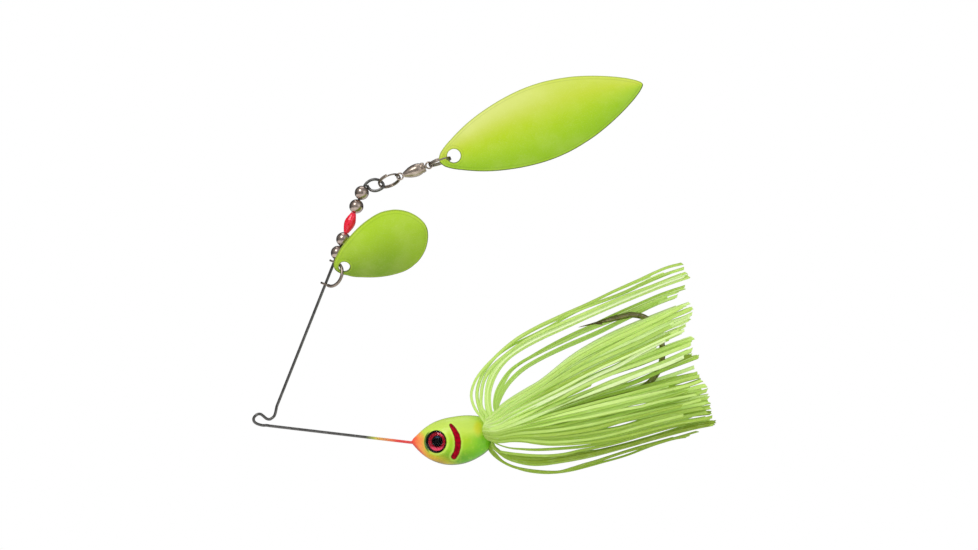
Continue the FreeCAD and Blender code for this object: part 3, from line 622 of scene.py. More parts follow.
def clear_resin():
    mat = new_material("clear_resin")
    ripple = mat.noise(800, detail=2)
    normal = mat.bump(ripple, strength=0.05, distance=0.00004)
    gloss = mat.node("BsdfGlossy")
    mat.put(gloss.inputs["Roughness"], mat.vary(ripple, 0.05, 0.03))
    mat.put(gloss.inputs["Normal"], normal)
    clear = mat.fill(mat.node("BsdfTransparent"), (0.97, 0.98, 1.0, 1))
    fresnel = mat.node("Fresnel")
    fresnel.inputs["IOR"].default_value = 1.20
    mat.put(fresnel.inputs["Normal"], normal)
    return mat.finish(mat.mix_shader(fresnel.outputs[0], clear, gloss.outputs[0]))


def silicone():
    """Streaked translucent strands; each has its tone, shifted to its group's at the root."""
    mat = new_material("skirt_silicone")
    along, across = mat.attr("along"), mat.attr("across")
    tone, tip, lobe = mat.attr("tone"), mat.attr("tipness"), mat.attr("lobe")
    root = mat.smooth(tip, 0.46, 0.10)
    shade = mat.add(tone, mat.mul(mat.mul(root, 0.75), mat.sub(lobe, tone)))
    base = mat.ramp(shade, [
        (0.0, 146, 172, 50), (0.2, 180, 209, 84), (0.45, 212, 237, 134),
        (0.7, 229, 248, 166), (0.88, 238, 253, 196), (1.0, 245, 254, 214)])
    calm = mat.sub(1.0, mat.mul(root, 0.6))
    # streaks stretched along the strand
    vector = mat.combine(mat.mul(along, 26.0), mat.mul(across, 2.6), mat.mul(tone, 91.0))
    streak = mat.noise(1.0, detail=4, rough=0.6, vector=vector)
    base = mat.tint(base, mat.smooth(streak, 0.52, 0.76), (236, 250, 196), amount=0.6)
    dark = mat.mul(mat.smooth(streak, 0.46, 0.24), mat.mul(calm, 0.46))
    base = mat.tint(base, dark, (156, 178, 50))
    # painted shade: strands darken towards their edges, less at the root
    edge = mat.smooth(mat.math("ABSOLUTE", across), 0.66, 1.0)
    base = mat.tint(base, mat.mul(edge, mat.mul(calm, 0.52)), (124, 144, 46))
    # sparse pigment specks
    vector = mat.combine(mat.mul(along, 700.0), mat.mul(across, 5.0), mat.mul(tone, 37.0))
    speck = mat.smooth(mat.noise(1.0, detail=2, vector=vector), 0.74, 0.80)
    base = mat.tint(base, speck, (126, 150, 50), amount=0.30)
    height = mat.add(mat.mul(streak, 0.8), mat.mul(mat.noise(3000, detail=2), 0.15))
    normal = mat.bump(height, strength=0.25, distance=0.00006)
    # painted light: the strands glow with their own colour, most at the root, where their lit
    # colour is darkened to flatten the shading
    solid = mat.surface(
        Base_Color=mat.tint(base, root, (0, 0, 0), amount=0.26), Roughness=0.45, Normal=normal,
        Specular_IOR_Level=0.30, Coat_Weight=0.08, Coat_Roughness=0.3, Emission_Color=base,
        Emission_Strength=mat.math("MULTIPLY_ADD", root, 0.15, 0.18))
    glow = mat.node("BsdfTranslucent")
    mat.put(glow.inputs["Color"], base)
    mat.put(glow.inputs["Normal"], normal)
    return mat.finish(mat.mix_shader(0.40, solid, glow.outputs[0]))


def band_rubber():
    mat = new_material("clear_band")
    cloud = mat.noise(1200, detail=4, rough=0.6)
    rings = mat.noise(900, detail=2, stretch=(5.0, 1.0, 5.0))
    return mat.finish(mat.surface(
        Base_Color=mat.mix(mat.smooth(cloud, 0.35, 0.7), (176, 198, 92), (150, 178, 70)),
        Roughness=mat.vary(cloud, 0.2, 0.4),
        Normal=mat.bump(rings, strength=0.3, distance=0.00008), Subsurface_Weight=0.1))


def red_glass():
    """Streaked glass; ang runs round the bead, hgt from -1 to 1 along it."""
    mat = new_material("red_glass")
    angle, height = mat.attr("ang"), mat.attr("hgt")
    vector = mat.combine(mat.mul(angle, 16.0), mat.mul(height, 2.2), 0.0)
    streak = mat.noise(1.0, detail=4, rough=0.65, vector=vector)
    base = mat.mix(mat.smooth(streak, 0.38, 0.66), (214, 4, 34), (244, 40, 74))
    base = mat.tint(base, mat.smooth(streak, 0.62, 0.72), (255, 130, 150), amount=0.6)
    ends = mat.smooth(mat.math("ABSOLUTE", height), 0.72, 0.98)
    base = mat.tint(base, ends, (238, 40, 74), amount=0.5)
    # painted shade: the bead darkens towards its outline
    base = mat.tint(base, mat.smooth(mat.facing(0.4), 0.45, 0.95), (150, 10, 44), amount=0.55)
    # painted light: the bead glows faintly with its own colour
    return mat.finish(mat.surface(
        Base_Color=base, Roughness=mat.vary(streak, 0.12, 0.10),
        Normal=mat.bump(streak, strength=0.35, distance=0.00008),
        Transmission_Weight=0.15, IOR=1.45, Coat_Weight=0.3, Coat_Roughness=0.08,
        Emission_Color=base, Emission_Strength=0.16))


# name: main colour, dark colour, roughness, noise scale, wear, rim (strength of the painted dark
# reflection at the outline)
METALS = {
    "nickel_wire": ((170, 156, 144), (120, 108, 98), 0.24, 900, 0.4, 1.0),
    "nickel_bead": ((208, 190, 178), (176, 158, 148), 0.20, 700, 0.2, 1.0),
    "swivel_metal": ((206, 190, 176), (156, 140, 124), 0.24, 800, 0.3, 1.0),
    "ball_steel": ((214, 214, 216), (190, 190, 192), 0.10, 700, 0.1, 0.3),
    "bronzed_hook": ((158, 150, 112), (104, 94, 64), 0.30, 900, 0.6, 0.75),
}
# Each finish is filed under the slot it fills.
LOOKS = {"spring_wire": wire_paint()}
for slot_name, recipe in METALS.items():
    LOOKS[slot_name] = metal(slot_name, *recipe)
LOOKS["painted_lead"] = head_paint()
LOOKS["printed_foil"] = foil_print()
LOOKS["clear_resin"] = clear_resin()
LOOKS["skirt_silicone"] = silicone()
LOOKS["clear_band"] = band_rubber()
LOOKS["red_glass"] = red_glass()
LOOKS["blade_paint"] = blade_paint(
    "blade_paint",
    stops=[(0.0, 120, 156, 30), (0.25, 130, 168, 32), (0.55, 146, 182, 34), (0.8, 158, 196, 34),
           (1.0, 170, 208, 34)],
    glow=(0.0, (200, 220, 120)), deep=(0.0, (120, 156, 34)), shine=0.06, rough=0.6,
    edge_shade=0.8, spread=0.55)
LOOKS["willow_paint"] = blade_paint(
    "willow_paint",
    stops=[(0.0, 150, 196, 20), (0.2, 166, 206, 24), (0.5, 182, 212, 30), (0.8, 196, 214, 54),
           (1.0, 200, 216, 76)],
    glow=(0.42, (220, 222, 138)), deep=(0.30, (150, 202, 28)), shine=0.15, rough=0.45,
    edge_shade=0.9)

# ---------------------------------------------------------------- shared axes
ARM = heading(68.29)
ARM_SIDE = np.array([ARM[2], 0, -ARM[0]])
ARM_START = point(9.854, 0, 16.829)
LOWER = heading(-6.719)
LOWER_START = point(15.66, 0, -3.20)
SHANK = heading(14.8)
SHANK_UP = np.array([-SHANK[2], 0, SHANK[0]])
SHANK_ZERO = point(75.40, 0, 2.44)
NEAR = np.array([0, -1, 0])


def on_arm(distance):
    return ARM_START + ARM * distance * MM


def on_lower(x):
    return LOWER_START + LOWER * ((x * MM - LOWER_START[0]) / LOWER[0])


def on_shank(distance, above=0.0):
    return SHANK_ZERO + SHANK * distance * MM + SHANK_UP * above * MM


# ---------------------------------------------------------------- bent wire
WIRE_RADIUS = 0.345
# x, z of the open bend between the two arms
TIE_BEND = [(1.89, -1.55), (0.90, -1.54), (-0.54, -1.10), (-1.15, -0.585), (-1.27, 0.02),
            (-1.05, 0.54), (-0.46, 1.07), (0.05, 1.22), (0.49, 1.17), (1.17, 0.66), (1.78, 0.15),
            (2.37, -0.07), (2.80, -0.02), (3.39, 0.37), (3.73, 0.71), (4.02, 1.40)]
# x, y, z of the closed loop at the arm's top
TOP_LOOP = [(26.32, 0, 57.58), (27.25, 0, 58.21), (28.48, 0, 58.45), (29.64, 0, 58.09),
            (30.36, 0, 57.27), (30.28, 0, 56.52), (29.55, 0, 55.96), (28.46, 0.14, 55.63),
            (27.40, 0.52, 55.80), (26.70, 0.78, 56.45), (26.42, 0.86, 57.02)]
# x, z of the bent end inside the head
HEAD_END = [(43.35, -8.05), (43.20, -6.60), (42.95, -5.20), (42.20, -4.42), (41.10, -4.55),
            (40.10, -5.25)]


def build_wire():
    def flat(points):
        return [point(x, 0, z) for x, z in points]

    run = [
        curve(flat(HEAD_END) + [on_lower(39.0), on_lower(38.2)], 60),
        [on_lower(x) for x in np.linspace(37.6, 3.4, 70)],
        curve([on_lower(2.9), on_lower(2.6)] + flat(TIE_BEND) + [on_arm(-14.7), on_arm(-14.0)],
              150),
        [on_arm(distance) for distance in np.linspace(-13.4, 42.6, 90)],
        curve([on_arm(42.9), on_arm(43.05)] + [point(*p) for p in TOP_LOOP], 130)]
    verts, faces, along, around = tube(np.vstack(run), WIRE_RADIUS * MM, 20)
    piece("wire_form", verts, faces, "spring_wire", attrs={"along": along, "around": around})


# ---------------------------------------------------------------- hook
# Hook stations: distance along the shank, height above it
HOOK_BEND = [(14.6, 0), (15.5, 0), (18.6, 0.35), (21.6, 1.6), (24.5, 4.4), (26.15, 9.0),
             (25.7, 13.4), (23.9, 16.7), (20.6, 18.35), (19.6, 18.40)]
BARB = [(11.7, 18.28), (13.45, 17.70), (13.28, 18.36), (12.5, 18.46)]
HOOK_RADIUS = 0.725
# distance along the shank, radius of the point there
POINT_TAPER = [(7.5, 0.03), (8.4, 0.11), (10.5, 0.20), (12.6, 0.31), (14.2, 0.50), (16.0, 0.66),
               (17.6, HOOK_RADIUS)]
POINT_STATIONS = 48


def build_hook():
    path = np.vstack([
        [on_shank(d) for d in np.linspace(-31.2, 14.0, 90)],
        curve([on_shank(*station) for station in HOOK_BEND], 90),
        [on_shank(d, 18.40 + (19.6 - d) * 0.0216) for d in np.linspace(19.2, 14.2, 18)],
        [on_shank(d, 18.517 + (14.2 - d) * 0.0145) for d in np.linspace(13.9, 7.5, 30)]])
    radii = np.full(len(path), HOOK_RADIUS * MM)
    reach = (path[-POINT_STATIONS:] - SHANK_ZERO) @ SHANK / MM
    radii[-POINT_STATIONS:] = np.interp(reach, *np.transpose(POINT_TAPER)) * MM
    verts, faces, along, around = tube(path, radii, 22)
    # the bend is forged a little flat
    length = along.max()
    fade = length * 0.06
    flatness = (np.clip((along - length * 0.62) / fade, 0, 1)
                * np.clip((length * 0.86 - along) / fade, 0, 1))
    verts[:, 1] *= 1 - 0.12 * flatness
    bag = Bag()
    bag.add(verts, faces, along=along, around=around)
    eye = circle(on_shank(-33.2), 1.45 * MM, SHANK, -NEAR, 60)
    verts, faces, along, around = tube(eye, 0.5 * MM, 16, first=SHANK_UP, closed=True)
    bag.add(verts, faces, along=along, around=around)
    barb = [on_shank(*corner) + point(0, y, 0) for y in (-0.17, 0.17) for corner in BARB]
    bag.add(barb, [(0, 1, 2, 3), (7, 6, 5, 4), (0, 4, 5, 1), (1, 5, 6, 2), (2, 6, 7, 3),
                   (3, 7, 4, 0)], along=0.0, around=0.0)
    bag.piece("hook", "bronzed_hook")


# ---------------------------------------------------------------- head
# Side outline from nose to tail: x, top z, bottom z
HEAD_OUTLINE = np.array([
    (37.41463, -5.17073, -6), (37.70732, -4.73171, -6.39024), (38.51220, -3.95122, -7.29268),
    (39.85366, -2.68293, -8.58537), (41.21951, -1.65854, -9.56098),
    (42.73171, -0.78049, -10.34146), (45.17073, 0.09756, -11.07317),
    (47.60976, 0.58537, -11.21951), (50.04878, 0.87805, -10.87805), (52, 0.87805, -10.19512),
    (53.70732, 0.63415, -9.31707), (55.17073, -0.19512, -8.34146),
    (56.14634, -1.46341, -7.36585), (56.63415, -2.68293, -6.34146)])
HEAD_ROWS, HEAD_SIDES = 110, 128
HEAD_WIDTH = 9.30
# the head widens from 0.7 of its full width over this stretch of x
WIDEN_FROM, WIDEN_OVER = 37.85366, 8.29268
EYE = point(43.43902, 0, -5.46341)
EYE_OUT = 2.95
EYE_RADIUS = 2.75
EYE_LOOK = {side: np.array([-math.sin(23 * DEG), side * math.cos(23 * DEG), 0])
            for side in (-1, 1)}


def eye_base(side):
    return EYE + point(0, side * EYE_OUT, 0)


def build_head():
    tallest = (HEAD_OUTLINE[:, 1] - HEAD_OUTLINE[:, 2]).max()
    rings = []
    for x, top, bottom in curve(HEAD_OUTLINE, HEAD_ROWS):
        half_height = (top - bottom) / 2
        grow = min(1.0, max(0.0, (x - WIDEN_FROM) / WIDEN_OVER))
        half_width = (half_height * HEAD_WIDTH / tallest
                      * (0.70 + 0.30 * grow * grow * (3 - 2 * grow)))
        rings.append(circle(point(x, 0, (top + bottom) / 2), 1.0, point(0, half_width, 0),
                            point(0, 0, half_height), HEAD_SIDES))
    verts = list(np.vstack(rings))
    faces = ring_faces(HEAD_ROWS, HEAD_SIDES)
    # shallow cones close the nose and the tail
    for row, bulge, order in ((0, -0.35, -1), (HEAD_ROWS - 1, 0.25, 1)):
        first = row * HEAD_SIDES
        verts.append(np.mean(verts[first:first + HEAD_SIDES], axis=0) + point(bulge, 0, 0))
        for k in range(HEAD_SIDES):
            faces.append((first + k, first + (k + 1) % HEAD_SIDES, len(verts) - 1)[::order])
    head = mesh_object("head_look", verts, faces, LOOKS["painted_lead"])
    # round eye seats, slightly wider and deeper than the foils
    for side in (-1, 1):
        look = EYE_LOOK[side]
        cut_round(head, eye_base(side) + look * (2.0 - 0.02) * MM, look, 2.81 * MM, 2.0 * MM, 96)
    shade_smooth(head, sharp=35)
    place(head, "frame", "head")
    # cast collar stub with a flared lip behind the skirt band
    verts, faces = lathe([(0.0, 0), (1.70, 0), (1.70, 2.4), (1.62, 3.0), (1.62, 5.6), (1.70, 6.3),
                          (2.15, 7.1), (2.05, 7.25), (0.73, 7.3)], on_shank(-21.6), SHANK, 64)
    piece("head_keeper", verts, faces, "painted_lead", replace=False)


def build_eyes():
    foil, gap = 0.18, 0.02
    rise, edge = 0.98, 0.32
    cap = rise - edge
    sphere = (EYE_RADIUS**2 + cap**2) / (2 * cap)
    dome = [(r, rise - (sphere - math.sqrt(sphere**2 - r * r)))
            for r in np.linspace(0.0, EYE_RADIUS, 26)] + [(EYE_RADIUS, 0.0), (0.0, 0.0)]
    disc = [(0.0, 0.0), (EYE_RADIUS, 0.0), (EYE_RADIUS, foil), (0.0, foil)]
    for label, side in (("left", -1), ("right", 1)):
        base, look = eye_base(side), EYE_LOOK[side]
        piece(f"eye_foil_{label}", *lathe(disc, base, look, 96), "printed_foil")
        piece(f"eye_dome_{label}", *lathe(dome, base + look * (foil + gap) * MM, look, 96),
              "clear_resin")


def build_collar():
    profile = [(1.76, 0.0), (2.2, 0.0), (2.42, 0.10), (2.5, 0.32), (2.5, 2.28), (2.42, 2.5),
               (2.2, 2.6), (1.76, 2.6)]
    piece("skirt_collar", *lathe(profile, on_shank(-18.6), SHANK, closed=True), "clear_band")


# ---------------------------------------------------------------- beads
BORE = 0.45
BEAD_RADIUS = 1.73
SPINDLE_AT = 33.38
# round beads sit in two pairs, one on each side of the spindle bead
BEAD_OFFSETS = (-7.88, -4.32, 4.32, 7.88)
SPINDLE_HALF = 2.61
# fraction of the half length, radius
SPINDLE_PROFILE = [(-1, 0.60), (-0.8, 0.80), (-0.52, 1.08), (-0.25, 1.28), (0, 1.35),
                   (0.25, 1.28), (0.52, 1.08), (0.8, 0.80), (1, 0.60)]


def build_beads():
    start = math.asin(BORE / BEAD_RADIUS)
    profile = [(BEAD_RADIUS * math.sin(a), -BEAD_RADIUS * math.cos(a))
               for a in np.linspace(start, math.pi - start, 40)]
    half = BEAD_RADIUS * math.cos(start)
    profile += [(BORE, half - 0.02), (BORE, -half + 0.02)]
    for number, offset in enumerate(BEAD_OFFSETS, 1):
        name = f"bead_{number}"
        verts, faces = lathe(profile, on_arm(SPINDLE_AT + offset), ARM, 64, closed=True)
        piece(name, verts, faces, "nickel_bead", body=name)


def build_spindle():
    """Long glass bead: twelve soft, slightly twisted flats round a pointed oval."""
    sides = 96
    first, second = axis_frame(ARM)
    angles = turn_angles(sides)
    heights = np.linspace(-SPINDLE_HALF, SPINDLE_HALF, 49)
    fractions, profile = np.transpose(SPINDLE_PROFILE)
    stations = []
    for height, radius in zip(heights, np.interp(heights, fractions * SPINDLE_HALF, profile)):
        turn = (angles + height * 0.10) % (math.pi / 6) - math.pi / 12
        facet = math.cos(math.pi / 12) / np.cos(turn)
        stations.append((height, radius * (0.35 + 0.65 * facet)))
    stations += [(height, np.full(sides, BORE)) for height in (SPINDLE_HALF, -SPINDLE_HALF)]
    rings = [circle(on_arm(SPINDLE_AT + height), radii[:, None] * MM, first, second, sides)
             for height, radii in stations]
    attrs = {"ang": np.tile(angles / (2 * np.pi), len(stations)),
             "hgt": np.repeat([height / SPINDLE_HALF for height, _ in stations], sides)}
    piece("spindle_bead", np.vstack(rings), ring_faces(len(stations), sides, closed=True),
          "red_glass", body="spindle_bead", attrs=attrs, sharp=50)


# ---------------------------------------------------------------- clevis
def build_clevis():
    """U of wire with an eyelet on the arm at each end, turned 45 degrees to the near side."""
    out = ARM_SIDE * math.cos(45 * DEG) + NEAR * math.sin(45 * DEG)
    half, leg, leg_start = 2.93, 1.30, 0.95

    def spot(along, outward):
        return on_arm(20.17 + along) + out * outward * MM

    path = [spot(half, w) for w in np.linspace(leg_start, leg, 5)]
    path += [spot(half * math.cos(a), leg + half * math.sin(a))
             for a in np.linspace(0.04, math.pi - 0.04, 70)]
    path += [spot(-half, w) for w in np.linspace(leg, leg_start, 5)]
    bag = Bag()
    bag.tube(path, 0.39 * MM, 20)
    eyelet = [(0.45, -0.20), (0.52, -0.25), (1.15, -0.25), (1.25, -0.15), (1.25, 0.15),
              (1.15, 0.25), (0.52, 0.25), (0.45, 0.20)]
    for side in (1, -1):
        bag.add(*lathe(eyelet, spot(side * half, 0), ARM, 48, closed=True), along=0.0)
    bag.piece("clevis", "nickel_wire", "clevis")


# ---------------------------------------------------------------- split rings and swivel
RING_RADIUS = 2.68
RING_SEAT = RING_RADIUS + 0.12
SWIVEL = heading(21)
SWIVEL_UP = np.array([-SWIVEL[2], 0, SWIVEL[0]])
SWIVEL_LENGTH = 7.55
BARREL_AT, BARREL_LENGTH = 0.95, 5.55
# radius, height above BARREL_AT; up the outside, then down the bore
BARREL = [(0.42, 0), (0.60, 0), (0.66, 0.06), (0.74, 0.30), (0.98, 0.80), (1.26, 1.50),
          (1.40, 1.95), (1.46, 2.30), (1.53, 2.7), (1.55, 3.10), (1.55, 3.5), (1.53, 3.75),
          (1.43, 4.20), (1.32, 4.55), (1.24, 4.58), (1.24, 4.76), (1.30, 4.80), (1.29, 5.0),
          (1.24, 5.18), (1.19, 5.22), (1.17, 5.45), (1.09, 5.55), (1.07, 5.55), (1.07, 4.98),
          (0.99, 4.98), (0.99, 2.55), (0.42, 2.20)]
# radius, height above the barrel's end
END_CAP = [(0.40, -0.55), (1.05, -0.55), (1.05, -0.12), (0.98, 0), (0.89, 0.04), (0.50, 0.04),
           (0.40, -0.04)]


def ring_plane(raised, turned):
    """A split ring's direction towards the swivel's far end, and its second in-plane one."""
    forward = heading(raised)
    side = np.array([-forward[2], 0, forward[0]])
    return forward, side * math.cos(turned * DEG) + NEAR * math.sin(turned * DEG)


def build_split_ring(name, centre, forward, second, start):
    """Two close turns of wire; start is the coil's first height in wire pitches."""
    axis = np.cross(forward, second)
    turns, pitch = 1.88, 0.42
    path = []
    for k in range(181):
        turned = turns * k / 180
        a = math.pi / 2 + 2 * math.pi * turned
        path.append(centre + (RING_RADIUS * (math.cos(a) * forward + math.sin(a) * second)
                              + pitch * (start + turned) * axis) * MM)
    bag = Bag()
    bag.tube(path, 0.2 * MM, 16, first=axis)
    bag.piece(name, "nickel_wire", name)


def swivel_eye(centre, origin, stem_from, stem_to):
    """Wire eye whose hole runs along Y, with its stem along the swivel."""
    hole, wire = 1.16, 0.38
    bag = Bag()
    bag.tube(circle(centre, (hole + wire) / 2 * MM, SWIVEL, SWIVEL_UP, 64), wire / 2 * MM, 16,
             closed=True)
    bag.tube([origin + SWIVEL * t * MM for t in np.linspace(stem_from, stem_to, 12)],
             0.35 * MM, 24)
    return bag


def build_swivel():
    forward, second = ring_plane(24, 63)
    centre = point(31.89, 0, 58.03)
    build_split_ring("split_ring_front", centre, forward, second, -1.25)
    fixed = centre + forward * RING_SEAT * MM
    moving = fixed + SWIVEL * SWIVEL_LENGTH * MM
    forward, second = ring_plane(20.5, 82)
    build_split_ring("split_ring_rear", moving + forward * RING_SEAT * MM, forward, second, -0.75)

    swivel_eye(fixed, fixed, 0.66, 2.95).piece("swivel_fixed_eye", "swivel_metal", "swivel")
    barrel = fixed + SWIVEL * BARREL_AT * MM
    piece("swivel_barrel", *lathe(BARREL, barrel, SWIVEL, closed=True), "swivel_metal", "swivel",
          sharp=28)
    end = barrel + SWIVEL * BARREL_LENGTH * MM
    piece("swivel_end_cap", *lathe(END_CAP, end, SWIVEL, 64, closed=True), "swivel_metal",
          "swivel", sharp=30)
    rotor = swivel_eye(moving, fixed, 3.7, 6.9)
    head = [(0.0, 3.58), (0.95, 3.58), (0.95, 4.68), (0.0, 4.68)]
    rotor.add(*lathe(head, fixed, SWIVEL, 48), along=0.0)
    rotor.piece("swivel_rotor", "swivel_metal", "swivel_rotor")
    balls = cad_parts["swivel_balls"].data.materials
    balls.clear()
    balls.append(LOOKS["ball_steel"])


# ---------------------------------------------------------------- blades
# Blade outlines: distance along the blade, half width as seen along Y
INDIANA = [
    (-13.31707, 0), (-13.07317, 0.82927), (-12.68293, 1.41463), (-12.14634, 2.02439),
    (-11.14634, 2.75610), (-10.14634, 3.56098), (-9.14634, 4.12195), (-8.14634, 4.60976),
    (-7.14634, 5.09756), (-6.14634, 5.56098), (-5.14634, 5.97561), (-4.14634, 6.34146),
    (-3.14634, 6.65854), (-2.14634, 6.92683), (-1.14634, 7.14634), (-0.14634, 7.31707),
    (0.85366, 7.46341), (1.85366, 7.53659), (2.87805, 7.51220), (3.87805, 7.36585),
    (4.87805, 7.09756), (5.87805, 6.80488), (6.87805, 6.31707), (7.87805, 5.68293),
    (8.87805, 4.85366), (9.87805, 3.70732), (10.58537, 2.58537), (11.12195, 1.31707),
    (11.36585, 0)]
WILLOW = [
    (-26.24390, 0), (-25.92683, 0.97561), (-25.36585, 1.75610), (-24.63415, 2.34146),
    (-23.82927, 2.87805), (-21.63415, 4.04878), (-19.41463, 5.12195), (-17.21951, 6.07317),
    (-15.02439, 6.85366), (-12.80488, 7.51220), (-10.60976, 8.04878), (-8.41463, 8.51220),
    (-6.19512, 8.87805), (-4, 9.14634), (-1.78049, 9.31707), (0.41463, 9.36585),
    (2.60976, 9.29268), (4.82927, 9.09756), (7.02439, 8.75610), (9.21951, 8.31707),
    (11.43902, 7.80488), (13.63415, 7.12195), (15.85366, 6.34146), (18.04878, 5.46341),
    (20.24390, 4.48780), (22.43902, 3.39024), (24.63415, 2.12195), (26.09756, 1.04878),
    (26.70732, 0.46341), (26.87805, 0)]


def eased(low, high, count):
    """Values crowded towards both ends."""
    return low + (high - low) * (1 - np.cos(np.linspace(0, np.pi, count))) / 2


def smooth_outline(table):
    """The outline resampled and gently smoothed, so that no facet of the table shows."""
    along, half = np.transpose(table)
    stations = eased(along[0], along[-1], 801)
    width = np.sqrt(np.interp(stations, along, half**2))
    kernel = np.hanning(31)
    padded = np.r_[-width[15:0:-1], width, -width[-2:-17:-1]]
    width = np.convolve(padded, kernel / kernel.sum(), "valid")
    width[0] = width[-1] = 0
    return stations, np.maximum(width, 0)


def blade_faces(rows, cols):
    """Front and back sheets, the two long edges, then the two short ends."""
    sheet = rows * cols
    faces = []
    for i in range(rows - 1):
        for k in range(cols - 1):
            a, b = i * cols + k, i * cols + k + 1
            c, d = b + cols, a + cols
            faces.append((a, d, c, b))
            faces.append((sheet + a, sheet + b, sheet + c, sheet + d))
    for i in range(rows - 1):
        a, b = i * cols, (i + 1) * cols
        faces.append((a, sheet + a, sheet + b, b))
        a, b = a + cols - 1, b + cols - 1
        faces.append((a, b, sheet + b, sheet + a))
    for k in range(cols - 1):
        faces.append((k, k + 1, sheet + k + 1, sheet + k))
        a = (rows - 1) * cols + k
        faces.append((a, sheet + a, sheet + a + 1, a + 1))
    return faces


def build_blade(name, slot, origin, axis, face, table, hole_along, hole_across, dish, thick,
                hole_radius):
    """Dished sheet; origin is the hole's centre in metres, face the way the dome bulges."""
    rows, cols = 161, 65
    outline_t, outline_w = smooth_outline(table)
    low, high = table[0][0], table[-1][0]
    length = high - low
    middle, reach = (low + high) / 2, length / 2 * 1.01

    def crown(t):
        return dish * np.maximum(0.0, 1 - np.abs((t - middle) / reach) ** 2.2)

    stations = eased(low, high, rows)
    stations[0], stations[-1] = low + 0.004 * length, high - 0.002 * length
    t = stations[:, None]
    side = np.sin(np.linspace(-np.pi / 2, np.pi / 2, cols))[None]
    width = np.interp(t, outline_t, outline_w)
    across = side * width
    # each cross-section is a circular arc, or a parabola where it is narrower than deep
    rise = np.maximum(crown(t), 0.06)
    sphere = (width**2 + rise**2) / (2 * rise)
    arc = np.sqrt(np.maximum(sphere**2 - across**2, 0)) - (sphere - rise)
    bowl = np.where(rise < sphere, arc, rise * (1 - side**2))
    edge = min(0.12, thick * 0.3)
    drop = edge * (1 - np.minimum(1.0, width * (1 - np.abs(side)) / edge)) ** 2

    along = np.tile(np.repeat(stations, cols), 2)
    across = np.tile(across.ravel(), 2)
    height = np.r_[(bowl - drop).ravel(), (bowl - thick + drop).ravel()]
    rim = np.full(len(along), 9.0)
    outline = np.stack([np.r_[outline_t, outline_t[::-1]], np.r_[outline_w, -outline_w[::-1]]], 1)
    for edge_t, edge_w in outline[::2]:
        rim = np.minimum(rim, np.hypot(along - edge_t, across - edge_w))
    attrs = {"u": (along - low) / length, "v": np.tile(side.ravel(), 2 * rows), "rim": rim,
             "back": np.repeat([0, 1], rows * cols)}

    x_axis, y_axis, z_axis = unit(axis), unit(np.cross(face, axis)), unit(face)
    zero = crown(hole_along) - thick / 2
    local = np.stack([along - hole_along, across - hole_across, height - zero], 1)
    verts = origin + local @ np.stack([x_axis, y_axis, z_axis]) * MM
    blade = mesh_object(name + "_look", verts, blade_faces(rows, cols), LOOKS[slot], attrs)
    cut_round(blade, origin, z_axis, hole_radius * MM, 6 * MM, 72)
    shade_smooth(blade, sharp=38)

    # the rim attribute also falls to zero round the hole
    count = len(blade.data.vertices)
    spots = np.zeros(count * 3, np.float32)
    blade.data.vertices.foreach_get("co", spots)
    spots = spots.reshape(-1, 3) - np.asarray(origin, np.float32)
    from_hole = np.hypot(spots @ x_axis, spots @ y_axis) / MM - hole_radius
    layer = blade.data.attributes["rim"].data
    rim = np.zeros(count, np.float32)
    layer.foreach_get("value", rim)
    layer.foreach_set("value", np.minimum(rim, np.maximum(from_hole, 0)).astype(np.float32))
    place(blade, name, name)


def build_blades():
    axis = heading(24.59)
    tilt = 22.0 * DEG
    up = np.array([-axis[2], 0, axis[0]])
    widen = 1.02 / math.cos(tilt)
    build_blade("indiana_blade", "blade_paint", point(20.90244, -2.42, 37.17073), axis,
                NEAR * math.cos(tilt) - up * math.sin(tilt),
                [(along, half * widen) for along, half in INDIANA],
                hole_along=-10.90244, hole_across=-0.30, dish=2.30, thick=0.50, hole_radius=1.35)
    build_blade("willow_blade", "willow_paint", point(47.58537, 0, 64.21951), heading(20.82),
                NEAR, WILLOW,
                hole_along=-22.42683, hole_across=0.0, dish=2.60, thick=0.60, hole_radius=1.65)


